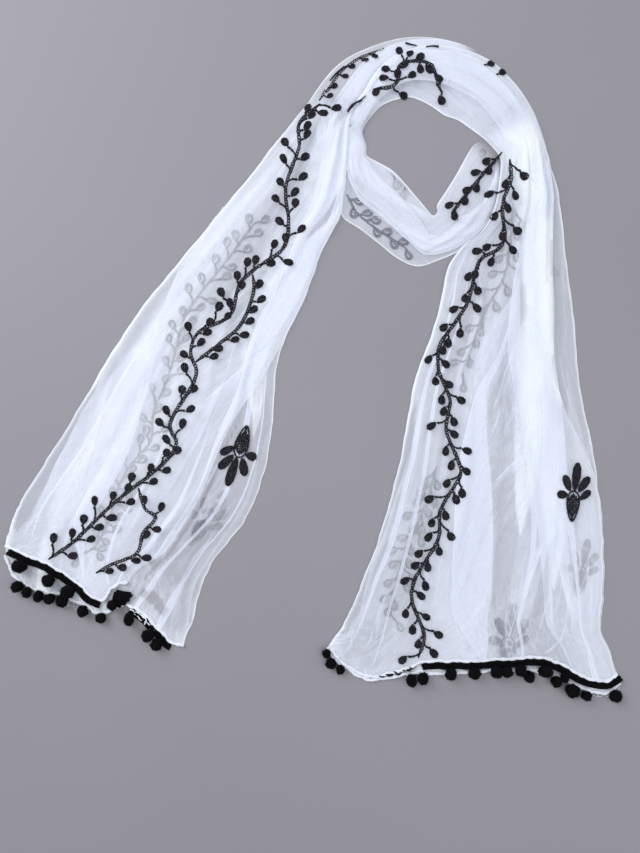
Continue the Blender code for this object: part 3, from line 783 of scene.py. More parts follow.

# %% [markdown]
# ### Where the cloth is dense, thin or crushed
# Between its clear folds the real cloth changes softly: hidden gathers make a band whiter, and
# where it is pulled flat it goes sheer. Folding all that as mesh would take far too many rows,
# so a short table says how much more or less a place hides, and where it is crushed. One thin
# band on the left fall is a painted shadow instead: thinner cloth beside the upper layer's free edge.

# %% Tones and crushed places of the falls
# gain above 0 is denser, below 0 thinner; centre and half tell the band across at each section.
Tone = namedtuple("Tone", "gain soft centre half")
LEFT_TONES = [
    Tone(0.40, 0.5, {6: 0.90, 7: 0.84, 9: 0.80, 11: 0.76, 13: 0.66, 15: 0.6},
         {5.6: 0.0, 7: 0.12, 8: 0.2, 11: 0.30, 14: 0.45}),
    Tone(0.45, 0.9, {2: 0.20, 6: 0.16, 9: 0.16, 11: 0.18, 15: 0.3},
         {2: 0.05, 4: 0.14, 9: 0.12, 13: 0.12, 16: 0.2}),
    Tone(0.30, 0.9, {0: 0.45, 4: 0.42, 8: 0.5}, {0: 0.12, 3: 0.24, 6: 0.22, 9: 0.0}),
    Tone(-0.28, 0.8, {8: 0.42, 11: 0.40, 14: 0.35}, {7.5: 0.0, 9: 0.16, 12: 0.18, 14: 0.0}),
    Tone(-0.55, 0.35, {0.8: 0.035, 2: 0.04, 3: 0.03, 4: 0.018, 5: 0.01},
         {0.8: 0.0, 1.6: 0.04, 3: 0.045, 4: 0.03, 5: 0.012, 5.6: 0.0}),
    Tone(-0.40, 0.9, {5.5: 0.05, 7: 0.065, 8.5: 0.05}, {5.2: 0.0, 6.8: 0.07, 7.6: 0.07, 9: 0.0}),
    Tone(-0.85, 0.4, {9.8: 0.82, 10.7: 0.875, 11.6: 0.95},
         {9.9: 0.0, 10.6: 0.05, 11.1: 0.05, 11.7: 0.0}),
    Tone(-0.55, 0.3, {0.5: 0.78, 0.8: 0.79, 1.2: 0.80}, {0.45: 0.0, 0.6: 0.09, 0.9: 0.09, 1.1: 0.0}),
    # A painted shadow: a thin band of the under layer just past the upper layer's free edge is made
    # thinner, so the darker floor shows through as the shadow of that edge.
    Tone(-0.60, 0.6, {0.8: 0.69, 1: 0.70, 2: 0.75, 3: 0.79, 4: 0.77, 5: 0.76, 6: 0.82},
         {1.2: 0.0, 2: 0.014, 4.5: 0.014, 6: 0.0}),
    Tone(-0.15, 0.6, {0: 0.95, 5: 0.95}, {1: 0.0, 2.5: 0.10, 5.5: 0.10, 6.5: 0.0}),
    Tone(-0.30, 0.7, {1.5: 0.85, 4.2: 0.87}, {1.6: 0.0, 2.3: 0.09, 3.6: 0.09, 4.3: 0.0}),
]
RIGHT_TONES = [
    Tone(0.80, 0.6, {4: 0.79, 6: 0.76, 8: 0.745, 10: 0.735, 12: 0.745, 14: 0.74, 16: 0.72},
         {3: 0.0, 5: 0.07, 7: 0.12, 9: 0.14, 12: 0.16, 14: 0.2, 18: 0.26}),
    Tone(2.0, 0.8, {5: 0.62, 6: 0.64, 8: 0.68, 11: 0.665, 13: 0.62, 15: 0.5, 16: 0.5},
         {4.4: 0.0, 5.6: 0.06, 7: 0.10, 11: 0.12, 13: 0.20, 15: 0.36, 16: 0.4}),
    Tone(-0.30, 0.35, {2: 0.585, 3.7: 0.565, 4.8: 0.555, 5.7: 0.53, 6.5: 0.515, 7.5: 0.50, 8.6: 0.53},
         {1.2: 0.02, 2.5: 0.04, 3.7: 0.055, 5: 0.075, 6.5: 0.09, 7.5: 0.085, 8.7: 0.0}),
    Tone(-0.32, 0.3, {0.5: 0.755, 1.1: 0.75, 4.3: 0.745}, {0: 0.10, 1: 0.09, 2: 0.06, 4.2: 0.0}),
    Tone(0.25, 0.9, {0: 0.40, 6: 0.36, 10: 0.42, 14: 0.5}, {0: 0.16, 6: 0.14, 10: 0.10, 13: 0.0}),
    Tone(-0.16, 0.9, {8: 0.45, 12: 0.45}, {7: 0.0, 9: 0.14, 12: 0.2, 14: 0.0}),
    Tone(0.18, 0.5, {0: 0.93, 8: 0.93, 16: 0.97}, {0: 0.06, 6: 0.05, 9: 0.0}),
    Tone(-0.45, 0.35, {0: 0.016, 3.5: 0.014, 6.6: 0.022}, {0.4: 0.0, 1.4: 0.022, 6.4: 0.024, 7.6: 0.0}),
    Tone(0.9, 0.5, {13: 0.7, 14.5: 0.6, 18: 0.5}, {13: 0.0, 14: 0.25, 15.6: 0.5, 18: 0.6}),
    Tone(2.6, 0.9, {15.2: 0.62, 17: 0.58, 18: 0.56}, {15.0: 0.0, 15.9: 0.34, 16.8: 0.5, 18: 0.6}),
    Tone(-0.12, 0.6, {0: 0.12, 2: 0.13}, {0: 0.11, 1.5: 0.08, 2.6: 0.0}),
    Tone(-0.15, 0.8, {0: 0.1, 6: 0.22, 10: 0.25}, {0: 0.1, 6: 0.10, 10: 0.12, 15: 0.0}),
]
# Where the cloth is crushed: the section, the place across, and how far it reaches both ways.
Crush = namedtuple("Crush", "section across sections wide strength")
LEFT_CRUSHES = table(
    Crush,
    (1.2, 0.80, 1.6, 0.26, 0.6),
    (3.6, 0.82, 1.8, 0.14, 0.7),
    (0.6, 0.10, 1.4, 0.16, 0.6),
    (9.0, 0.70, 3.0, 0.25, 0.5),
)
RIGHT_CRUSHES = table(
    Crush,
    (1.0, 0.62, 2.6, 0.24, 1.0),
    (0.6, 0.10, 1.6, 0.16, 0.9),
    (6.6, 0.52, 2.6, 0.16, 0.8),
    (3.0, 0.88, 2.4, 0.12, 0.7),
    (9.5, 0.42, 2.2, 0.2, 0.5),
)
print("tones:", len(LEFT_TONES), "on the left,", len(RIGHT_TONES), "on the right")

# %% Smaller folds of the falls, as lines seen from above
LEFT_FOLDS = table(
    Fold,
    ([(-211, 1), (-221, -37), (-231, -81), (-244, -125), (-255, -152)], -16, 0.55),
    ([(-237, -64), (-244, -88), (-257, -125), (-273, -160)], -5, 0.4),
    ([(-157, 45), (-172, 7), (-185, -24), (-195, -59), (-203, -86), (-216, -125), (-225, -147)], 20,
     0.5),
    ([(-89, -13), (-104, -48), (-119, -81), (-137, -114), (-158, -147), (-174, -163)], -16, 0.55),
    ([(-84, 5), (-102, -28), (-122, -64), (-152, -111)], 8, 0.35),
    ([(-39, 16), (-65, 5), (-92, -17), (-114, -37), (-139, -63)], 22, 0.55),
    ([(-89, -90), (-114, -136), (-134, -168), (-150, -191)], -6, 0.55),
    ([(-111, -212), (-126, -245), (-131, -278), (-135, -300)], -8, 0.45),
    ([(-51, -81), (-73, -152), (-111, -210), (-127, -243)], 6, 0.3),
    ([(-102, -183), (-130, -229), (-142, -256), (-146, -285)], -10, 0.32),
    ([(-84, -147), (-111, -190), (-130, -214), (-152, -256)], 5, 0.22),
    ([(-244, -35), (-261, -75), (-280, -111), (-291, -138), (-308, -168)], 12, 0.45),
    ([(-271, -114), (-289, -152), (-306, -177), (-319, -196)], -6, 0.4),
    ([(-205, -37), (-218, -81), (-231, -119)], 6, 0.2),
    ([(-160, -160), (-165, -190), (-172, -218)], -10, 0.45),
    ([(-183, -147), (-196, -179), (-215, -203)], 5, 0.35),
    ([(-72, 206), (-95, 177), (-119, 138), (-141, 108), (-154, 78), (-169, 40)], 24, 0.55),
    ([(-49, 201), (-74, 166), (-103, 127), (-128, 98)], -22, 0.4),
    ([(35, 237), (32, 193), (21, 158), (8, 127), (0, 94), (-14, 59)], 8, 0.55),
    ([(10, 149), (3, 116), (-7, 84), (-21, 53), (-43, 23)], 6, 0.4),
    ([(-10, 73), (-26, 45), (-51, 18), (-76, 5)], -10, 0.35),
    ([(-76, 45), (-84, 18), (-93, -13)], 4, 0.45),
    ([(-58, 73), (-67, 40)], 4, 0.35),
    ([(-163, -179), (-179, -208), (-198, -225)], 5, 0.3),
    ([(-135, -70), (-154, -97), (-174, -122)], 5, 0.3),
    ([(-229, -196), (-240, -214), (-246, -232)], 6, 0.35),
)
RIGHT_FOLDS = table(
    Fold,
    ([(263, 204), (264, 182), (266, 127), (266, 73), (267, 18), (272, -15), (282, -50), (290, -81)],
     -36, 1.0),
    ([(254, 190), (257, 149), (259, 73), (260, 7)], -30, 0.8),
    ([(231, 91), (215, 67), (198, 40), (183, 12), (168, -17)], 26, 0.45),
    ([(233, 42), (218, 7), (209, -21), (196, -59)], 4, 0.55),
    ([(224, 34), (204, 1), (194, -21), (192, -48), (194, -81)], 4, 0.5),
    ([(207, 64), (192, 34), (176, 7)], 6, 0.35),
    ([(214, 51), (196, 18), (185, -6)], 5, 0.3),
    ([(210, -39), (203, -61), (195, -83)], 4, 0.5),
    ([(238, -90), (218, -109), (198, -129)], 9, 0.55),
    ([(250, -136), (236, -150), (225, -168), (227, -186)], 4, 0.45),
    ([(198, -136), (183, -160), (169, -185), (161, -212), (155, -245), (150, -278)], 26, 0.45),
    ([(201, -152), (185, -190), (172, -229), (161, -256)], 4, 0.35),
    ([(260, -188), (251, -212), (242, -240), (233, -269)], -14, 0.75),
    ([(262, -155), (267, -196), (274, -229), (282, -262), (290, -294)], 24, 0.65),
    ([(266, -240), (257, -267), (249, -294)], 4, 0.5),
    ([(282, -276), (271, -300), (253, -317)], 6, 0.55),
    ([(233, -245), (225, -273), (218, -294), (213, -313)], 3, 0.55),
    ([(206, -278), (199, -300), (194, -317)], 3, 0.4),
    ([(282, -39), (293, -70), (307, -97), (314, -127)], -5, 0.45),
    ([(113, -81), (104, -114), (93, -147), (81, -185), (68, -218), (58, -256), (53, -283)], 9, 0.45),
    ([(121, -81), (111, -125), (99, -168), (84, -212), (73, -245)], 4, 0.3),
    ([(128, -70), (117, -125), (103, -174)], 4, 0.25),
    ([(137, -50), (127, -101), (117, -147), (111, -179)], -6, 0.35),
    ([(168, 114), (158, 84), (151, 59)], -4, 0.4),
    ([(253, -15), (255, -70), (253, -125)], -18, 0.5),
    ([(271, -81), (275, -125), (271, -168)], 8, 0.35),
    ([(78, -256), (69, -289), (58, -316)], 4, 0.35),
    ([(47, -283), (45, -302), (39, -316)], 4, 0.45),
    ([(87, -240), (76, -267), (71, -300)], 12, 0.4),
    ([(319, -212), (317, -256), (308, -289)], -8, 0.4),
    ([(176, -37), (187, -81), (192, -114)], 6, 0.25),
    ([(308, -300), (319, -316), (328, -331)], -6, 0.35),
)
print("small folds:", len(LEFT_FOLDS), "on the left,", len(RIGHT_FOLDS), "on the right")

# %% How much one layer hides
LAYER = 0.46          # the share that one plain layer hides
FOLD_GAIN = 0.42      # what the bright line of a fold adds
MOST_COVER = 0.97
HIDDEN_GAIN = {"upper": 0.30, "under": 1.7}     # gathers lie hidden in the layer below
HEM_GAIN = {"upper": 0.0, "under": 0.4}         # the end of the under layer is crumpled


def layer_share(tones, layer, section, across):
    """How dense the cloth is at a place, against one plain layer."""
    share = 1.0
    for tone in tones:
        half = through(tone.half, section)
        if half > 0.001:
            off = abs(across - through(tone.centre, section)) / half
            gain = tone.gain * (HIDDEN_GAIN[layer] if tone.gain > 0 else 1.0)
            share += gain * smooth_step((1 - off) / tone.soft)
    share += HEM_GAIN[layer] * (1 - smooth_step(section / 0.7))
    return max(0.15, share)


def crushed_at(crushes, section, across):
    most = 0.0
    for crush in crushes:
        off = math.hypot((section - crush.section) / crush.sections, (across - crush.across) / crush.wide)
        most = max(most, crush.strength * smooth_step(1.3 - off))
    return most


print("a plain layer hides", LAYER, "and the line of a fold", LAYER + FOLD_GAIN)

# %% A fall
WALL = 1.2            # height of the solid's under layer
LAYER_GAP = 0.5
ON_FLOOR = 0.6        # height of the lowest layer
HEM_FADE = 95.0       # how far up the cloth the hem's own line is felt
EDGE_LINE = 2.6       # width of the bright line along a free edge
FADE_OUT = 1.6        # sections over which a fall thins out where it goes under the neck
TURN_COVER = {"fold": 0.92, "under end": 0.8, "upper end": 0.85}
HEM_SEED = {"upper": 40.0, "under": 0.0}
HEM_RIPPLE = {"upper": 1.7, "under": 2.4}


class Fall:
    def __init__(self, sections, hems, reach, ridges, knives, tones, crushes, laps_over):
        self.stretch = Stretch(sections)
        self.hems = hems
        self.ridges = ridges
        self.tones = tones
        self.crushes = crushes
        self.laps_over = laps_over
        ends = {"upper": reach, "under": {0: 1}}
        self.layers = {k: Pleated(self.stretch, {0: 0}, ends[k], knives[k]) for k in ends}

    def place(self, layer, across, along):
        """Where a point of a layer is, with the hem's line and the free edges' sway."""
        seed = HEM_SEED[layer]
        to_edge = min(across, 1 - across)
        ripple = uneven(across * 14, seed, 0.3) + 0.5 * uneven(across * 37, seed, 4.3)
        drop = through(self.hems[layer], across)
        drop += HEM_RIPPLE[layer] * ripple * smooth_step(to_edge / 0.04 + 0.2)
        side = 3.0 if across < 0.5 else 9.0
        sway = uneven(along / 21, side, 0.7) + 0.6 * uneven(along / 9, side, 5.7)
        drift = 2.2 * sway * (1 - smooth_step(to_edge / 0.12)) * (1 - 0.6 * smooth_step(along / 260))
        felt = 1 - smooth_step(along / HEM_FADE)
        return self.stretch.place(across + drift / self.stretch.width(along), along - drop * felt)

    def hem_line(self, layer, across_to, columns):
        return [self.place(layer, across_to * k / columns, 0.0) for k in range(columns + 1)]

    def lap(self, section, across):
        """How far an edge is lifted where it lies over the strand beside it."""
        low, high = self.laps_over
        lift = through(low, section) * (1 - smooth_step(across / 0.06))
        return lift + through(high, section) * smooth_step((across - 0.92) / 0.06)

    def cover(self, layer, section, across, crease):
        share = LAYER * layer_share(self.tones, layer, section, across)
        fade = smooth_step((self.stretch.last - section) / FADE_OUT)
        return min(MOST_COVER, share + FOLD_GAIN * crease) * fade

    def layer_row(self, layer, section, along):
        """The spots of one layer, from the fall's outer edge to its end."""
        width = self.stretch.width(along)
        spots = []
        for node in self.layers[layer].row(section, width):
            place = self.place(layer, node.across, along)
            crease = max(node.crease, 1 - node.across * width / EDGE_LINE)
            crush = crushed_at(self.crushes, section, node.across)
            if layer == "under":
                crease = max(crease, 1 - (1 - node.across) * width / EDGE_LINE)
                z = ON_FLOOR + node.extra + 0.25 * abs(wrinkle(node.across * width, along, 1))
            else:
                z = self.upper_height(node, section, along, width, crush)
            z += self.lap(section, node.across)
            cover = self.cover(layer, section, node.across, crease)
            spots.append(Spot(place.x, place.y, z, cover, crush))
        return spots

    def upper_height(self, node, section, along, width, crush):
        """How high the upper layer lies on the under one, with its ridges, hills and wrinkles."""
        dome = math.sin(math.pi * clamp(node.across)) ** 0.6
        base = WALL + self.stretch.bulk(along) * dome + LAYER_GAP + ON_FLOOR + node.extra
        across_mm = node.across * width
        waves = 0.5 + 0.9 * wrinkle(across_mm, along, 2) + 1.3 * swell(across_mm, along, 2)
        waves += 0.9 * crush * abs(wrinkle(across_mm * 2.2, along * 1.6, 3))
        from_edge = smooth_step(node.across / 0.03)
        return base + ridge_height(self.ridges, section, node.across) + from_edge * waves

    def turned_edge(self, section, along, fade):
        """Three spots round the outer edge, from the under layer up to the upper one."""
        low = self.place("under", 0.0, along)
        high = self.place("upper", 0.0, along)
        outward = (low - self.place("under", 1.0, along)).normalized()
        radius = (WALL + LAYER_GAP) / 2
        foot = ON_FLOOR + self.lap(section, 0.0)
        spots = []
        for turn in (-50, 0, 50):
            angle = math.radians(turn)
            place = low.lerp(high, (math.sin(angle) + 1) / 2) + outward * radius * math.cos(angle)
            z = foot + radius + radius * math.sin(angle)
            spots.append(Spot(place.x, place.y, z, TURN_COVER["fold"] * fade, 0.0))
        return spots

    def row(self, along):
        section = max(0.0, self.stretch.section_at(along))
        fade = smooth_step((self.stretch.last - section) / FADE_OUT)
        under = self.layer_row("under", section, along)[::-1]
        upper = self.layer_row("upper", section, along)
        under[0] = under[0]._replace(cover=TURN_COVER["under end"] * fade, creased=0.0)
        upper[-1] = upper[-1]._replace(cover=TURN_COVER["upper end"] * fade, creased=0.0)
        return under + self.turned_edge(section, along, fade) + upper


# %% Build the falls
left = Fall(
    sections=LEFT_FALL,
    hems={"upper": LEFT_HEM_UPPER, "under": LEFT_HEM_UNDER},
    reach=LEFT_REACH,
    ridges=LEFT_RIDGES,
    knives={"upper": LEFT_UPPER_KNIVES, "under": LEFT_UNDER_KNIVES},
    tones=LEFT_TONES,
    crushes=LEFT_CRUSHES,
    laps_over=({0: 0.0}, {10: 0.0, 11.5: 2.4, 16: 2.4}),
)
right = Fall(
    sections=RIGHT_FALL,
    hems={"upper": RIGHT_HEM_UPPER, "under": RIGHT_HEM_UNDER},
    reach=RIGHT_REACH,
    ridges=RIGHT_RIDGES,
    knives={"upper": RIGHT_UPPER_KNIVES, "under": RIGHT_UNDER_KNIVES},
    tones=RIGHT_TONES,
    crushes=RIGHT_CRUSHES,
    laps_over=({10: 0.0, 11.5: 2.4, 15: 2.4, 16.5: 0.0}, {0: 0.0}),
)
left_rows = [left.row(along) for along in left.stretch.steps(ROW)]
right_rows = [right.row(along) for along in right.stretch.steps(ROW)]
left_cloth = cloth_piece("left_cloth", left_rows, 0.40, LEFT_FOLDS)
right_cloth = cloth_piece("right_cloth", right_rows, 0.60, RIGHT_FOLDS)

# %% [markdown]
# ## The strands round the neck
# Here the same cloth is gathered to a hand's width. Each strand is one sheet that goes back
# and forth: where four or five layers lie on each other it is bright white, and where only
# one layer reaches the edge it stays sheer.

# %% Tables of the strands
NECK_OVER = table(
    Section,
    (39.2, 219, 64, 232, 7.0),
    (40.8, 244, 63, 244, 6.6),
    (41, 266, 59, 260, 6.0),
    (47.5, 284, 68, 274, 7.0),
    (60, 301.5, 78, 285, 8.0),
    (72, 321, 89, 291, 9.5),
    (88, 336.5, 99, 294, 10.5),
    (109, 347, 110, 296, 11.0),
    (134, 351, 123, 292, 11.5),
    (160, 349.5, 136, 285, 12.0),
    (185, 342.5, 149, 276, 12.0),
    (206, 331, 163, 271, 11.5),
    (223, 315, 175, 263, 11.0),
    (237, 297, 186, 255, 10.0),
    (248, 276, 196, 247, 9.0),
    (257, 252, 210, 232, 8.4),
)
NECK_UNDER = table(
    Section,
    (-14, 275, 40, 263, 7.0),
    (-2, 289, 46, 277, 6.4),
    (9, 305, 57, 292, 5.8),
    (23, 323, 67, 309, 5.2),
    (40, 338, 78, 324, 4.6),
    (62, 349, 91, 334.5, 4.0),
    (86, 357.5, 108, 344, 3.4),
    (110, 362, 131, 348, 3.0),
    (136, 361.5, 152, 349, 2.6),
    (161, 356.5, 172, 344, 2.2),
    (186, 346.5, 190, 337, 2.0),
)
FRONT_BAND = table(
    Section,
    (63, 299, 78, 285, 8.0),
    (50, 282, 68, 274, 7.0),
    (41.6, 262.5, 59, 258, 6.0),
    (40.8, 244, 63, 244, 6.6),
    (39.2, 219, 64, 232, 7.0),
    (36.5, 192, 75, 225, 7.4),
    (36, 166, 91, 216, 7.4),
    (56, 151, 104, 203, 7.4),
    (78, 134, 116, 189, 7.4),
    (97, 119, 127, 176, 7.4),
    (119, 110, 136, 166, 7.6),
    (143, 117, 141, 170, 7.8),
    (167, 128, 141, 178, 7.8),
    (189, 146, 150, 192, 7.6),
    (203, 171, 163, 213, 7.2),
    (209, 199, 174, 233, 6.8),
    (210, 215, 182, 244, 6.4),
    (210, 227, 191, 247, 6.0),
)
OVER_RIDGES = table(
    Ridge,
    (2.5, 14.5, 0.22, 0.20, 0.070, 1.6),
    (4.0, 15.0, 0.45, 0.42, 0.070, 1.8),
    (5.0, 13.0, 0.72, 0.70, 0.060, 1.4),
)
UNDER_RIDGES = [Ridge(-0.5, 6.0, 0.35, 0.35, 0.120, 1.2)]
BAND_RIDGES = table(
    Ridge,
    (2.5, 15.0, 0.30, 0.30, 0.070, 1.6),
    (3.0, 16.5, 0.52, 0.50, 0.070, 1.8),
    (4.0, 14.0, 0.76, 0.72, 0.060, 1.4),
)
print("sections:", len(NECK_OVER), len(NECK_UNDER), len(FRONT_BAND))

# %% How the cloth goes back and forth, and its smaller folds
# A lay runs from one turn to the next at a level: 0 lies on the floor, 1 is the strand's top.
Lay = namedtuple("Lay", "level to")
OVER_LAYS = [
    Lay(0.0, {0: 1.0}),
    Lay(0.35, {0: 0.94, 1: 0.9, 2.6: 0.0}),
    Lay(0.60, {0: 0.97, 2: 0.9, 5: 0.6, 9: 0.56, 15: 0.62}),
    Lay(0.80, {0: 0.94, 1: 0.9, 2.6: 0.05, 6: 0.06, 9: 0.14, 15: 0.22}),
    Lay(1.0, {0: 0.96, 2: 0.95, 4: 0.80, 7: 0.74, 10: 0.66, 15: 0.74}),
]
UNDER_LAYS = [
    Lay(0.0, {0: 1.0}),
    Lay(0.35, {0: 0.95, 1.4: 0.5, 3: 0.5, 6: 0.3, 10: 0.1}),
    Lay(0.65, {0: 1.0}),
    Lay(1.0, {0: 0.97, 1.4: 0.6, 3: 0.62, 6: 0.4, 10: 0.15}),
]
BAND_LAYS = [
    Lay(0.0, {0: 1.0}),
    Lay(0.4, {0: 0.94, 1: 0.9, 2.4: 0.04, 4: 0.1, 6: 0.34, 9: 0.34, 11: 0.12, 13: 0.05, 17: 0.0}),
    Lay(0.6, {0: 0.97, 2: 0.96, 4: 0.88, 6: 0.78, 9: 0.76, 11: 0.50, 13: 0.42, 15: 0.12, 17: 0.1}),
    Lay(0.8, {0: 0.94, 1: 0.9, 2.4: 0.06, 4: 0.2, 6: 0.40, 9: 0.38, 11: 0.18, 13: 0.12, 15: 0.03,
              17: 0.02}),
    Lay(1.0, {0: 0.96, 2: 0.92, 4: 0.80, 6: 0.66, 9: 0.66, 11: 0.44, 13: 0.36, 15: 0.2, 17: 0.2}),
]
OVER_FOLDS = table(
    Fold,
    ([(144, 351), (174, 340), (201, 325), (225, 300), (242, 270), (253, 237)], -26, 0.7),
    ([(135, 318), (149, 300), (165, 283), (187, 265)], 5, 0.35),
    ([(130, 336), (144, 319), (152, 297)], 4, 0.35),
    ([(73, 314), (59, 294), (48, 275), (41, 253)], 5, 0.45),
    ([(47, 270), (41, 248), (39, 220)], 8, 0.4),
)
BAND_FOLDS = table(
    Fold,
    ([(62, 231), (76, 206), (91, 188), (111, 179), (130, 169), (144, 156)], -26, 0.6),
    ([(47, 204), (61, 177), (83, 158), (111, 141), (133, 132), (155, 137), (182, 147), (198, 166),
      (207, 193), (211, 217)], 24, 0.6),
    ([(209, 224), (196, 193), (185, 173), (168, 165), (152, 159)], 14, 0.65),
    ([(41, 237), (44, 210), (56, 182)], 10, 0.45),
)
print("layers:", len(OVER_LAYS), len(UNDER_LAYS), len(BAND_LAYS))

# %% A strand
EDGE_STEP = 1.3       # height of one folded edge on the solid
STRAND_COLUMN = 1.8
STRAND_ROW = 3.0
STRAND_CREASED = 0.15
RIM_LINE = 2.0        # width of the bright line along a strand's edge


class Bunched:
    def __init__(self, sections, ridges, lays, fade_in, fade_out, on_left=None):
        self.stretch = Stretch(sections)
        self.fade_in = fade_in
        self.fade_out = fade_out
        self.ridges = ridges
        self.lays = lays
        self.on_left = on_left or {0: 0.0}
        self.counts = columns_between(self.stretch, self.turns, STRAND_COLUMN, 6)

    def turns(self, section, width):
        return [0.0] + [through(lay.to, section) for lay in self.lays]

    def top(self, section, along, across):
        """Height of the strand's upper side, which rises from its edges in two steps."""
        near = max(0.0, min(across, 1 - across))
        steps = EDGE_STEP * (1 + smooth_step(near / 0.05) + smooth_step((near - 0.06) / 0.05))
        dome = math.sin(math.pi * clamp(across)) ** 0.8
        crown = max(0.0, self.stretch.bulk(along) - 3 * EDGE_STEP) * dome
        return steps + crown + ridge_height(self.ridges, section, across)

    def height(self, j, section, along, across, width):
        level = self.lays[j].level
        top = self.top(section, along, across) - 0.4
        room = smooth_step(min(across, 1 - across) / 0.08)
        wave = wrinkle(across * width * 1.5, along, 10 + j) * room * level * 0.9
        lap = through(self.on_left, section) * (1 - smooth_step(across / 0.25))
        return max(0.5 + 0.1 * j, ON_FLOOR + (top - ON_FLOOR) * level + wave) + lap

    def row(self, along):
        section = self.stretch.section_at(along)
        width = self.stretch.width(along)
        turns = self.turns(section, width)
        fade = smooth_step(section / self.fade_in + 0.02)
        fade *= smooth_step((self.stretch.last - section) / self.fade_out + 0.02)
        spots = []
        for j, count in enumerate(self.counts):
            for k, across in enumerate(spread(turns[j], turns[j + 1], count, width)):
                place = self.stretch.place(across, along)
                at_turn = k == 0 or k == count
                crease = 0.6 + 0.5 * uneven(section * 0.9, j * 2.3, 8.1) if at_turn else 0.0
                rim = 1 - min(across, 1 - across) * width / RIM_LINE
                cover = min(MOST_COVER, LAYER + FOLD_GAIN * max(crease, rim)) * fade
                z = self.height(j, section, along, across, width)
                spots.append(Spot(place.x, place.y, z, cover, STRAND_CREASED))
        return spots

    def build(self, name, cut_width, folds=()):
        rows = [self.row(along) for along in self.stretch.steps(STRAND_ROW)]
        return cloth_piece(name, rows, cut_width, folds)


# %% Build the strands
OVER_ON_UNDER = {1: 0.0, 2.5: 2.6, 8: 2.6, 10.5: 1.2, 12: 0.0}
over_strand = Bunched(NECK_OVER, OVER_RIDGES, OVER_LAYS, 2.6, 0.8, OVER_ON_UNDER)
under_strand = Bunched(NECK_UNDER, UNDER_RIDGES, UNDER_LAYS, 1.6, 1.5)
band_strand = Bunched(FRONT_BAND, BAND_RIDGES, BAND_LAYS, 3.0, 2.2)
neck_over = over_strand.build("neck_over_cloth", 0.17, OVER_FOLDS)
neck_under = under_strand.build("neck_under_cloth", 0.10)
front_band = band_strand.build("front_band_cloth", 0.14, BAND_FOLDS)
cloths = [left_cloth, right_cloth, neck_over, neck_under, front_band]

# %% [markdown]
# ## Laying stitches on the cloth
# Everything that is sewn on follows the cloth under it. A ray dropped from above finds the
# top of the cloth at a place; one sent up from the floor finds its lowest layer, for the
# stitches that show only as a shadow through the layers over them.

# %% Where the cloth is
BELOW = -0.01
UP = Vector((0, 0, 1))


class Ground:
    """Finds the cloth at a place: its top, or its lowest layer."""

    def __init__(self, pieces):
        points = []
        faces = []
        for piece in pieces:
            first = len(points)
            points += [v.co.copy() for v in piece.data.vertices]
            faces += [[first + k for k in p.vertices] for p in piece.data.polygons]
        self.tree = BVHTree.FromPolygons(points, faces)

    def height(self, x, y, under=False):
        """In millimetres above the floor, at a place in the tables' millimetres."""
        place = to_scene((x, y, 0))
        start, way = (BELOW, UP) if under else (HIGH_UP.z, DOWN)
        hit = self.tree.ray_cast(Vector((place.x, place.y, start)), way)[0]
        return hit.z / MM if hit else None

    def covers(self, spot, room):
        """True if there is cloth at a place and a little way round it."""
        sides = ((0, 0), (room, 0), (-room, 0), (0, room), (0, -room))
        return all(self.height(spot.x + dx, spot.y + dy) is not None for dx, dy in sides)


ground = Ground(cloths)
print("cloth at the middle of the left fall:", round(ground.height(-150, -50), 1), "mm high")

# %% [markdown]
# ## Thread
# Embroidery is thread that stands up from the cloth, so it is built as thin tubes, thousands of
# them, gathered into one mesh for each vine or lace. A curve object for each stitch would be
# easier to write but very slow to handle.

# %% Tubes gathered in one mesh
REST = 0.1            # what would dip below this height is pressed flat on the floor


class Stitches:
    """Gathers many small tubes in millimetres and makes one mesh of them."""

    def __init__(self):
        self.points = []
        self.faces = []
        self.leaves = []

    def tube(self, path, radii, sides=5, closed=False):
        """A tube through points in space, each with its radius."""
        first = len(self.points)
        count = len(path)
        for k, point in enumerate(path):
            after = path[(k + 1) % count] if closed else path[min(k + 1, count - 1)]
            before = path[k - 1] if closed or k > 0 else path[0]
            way = after - before
            way = way.normalized() if way.length > 1e-6 else Vector((1, 0, 0))
            side = way.cross(UP)
            side = side.normalized() if side.length > 1e-3 else Vector((1, 0, 0))
            up = side.cross(way)
            for s in range(sides):
                angle = 2 * math.pi * s / sides
                self.points.append(point + radii[k] * (side * math.cos(angle) + up * math.sin(angle)))
        for k in range(count if closed else count - 1):
            self.join_rings(first + k * sides, first + (k + 1) % count * sides, sides)
        if not closed:
            last = first + (count - 1) * sides
            self.faces.append([first + s for s in range(sides)])
            self.faces.append([last + s for s in reversed(range(sides))])

    def join_rings(self, a, b, sides):
        """Faces between two rings of points."""
        for s in range(sides):
            t = (s + 1) % sides
            self.faces.append((a + s, b + s, b + t, a + t))

    def make(self, name, material):
        resting = [Vector((p.x, p.y, max(p.z, REST))) for p in self.points]
        return make_piece(name, resting, self.faces, material)


def twisted(thick, count, thin):
    """Radii of a twisted thread: every other ring is a little thinner."""
    return [thick * (1.0 if k % 2 else thin) for k in range(count)]


# %% [markdown]
# ## Black thread, rolled hem and lace finishes
# The embroidery thread is a soft black cotton with a dull shine on top of each twist; that
# shine is a painted highlight, lighter flecks mixed into the thread's colour. Seen through the
# cloth over it, the same thread needs less contrast. The lace is black too, and duller, with
# the same painted flecks. The rolled hem is chiffon rolled on itself, so it is white and hardly sheer.

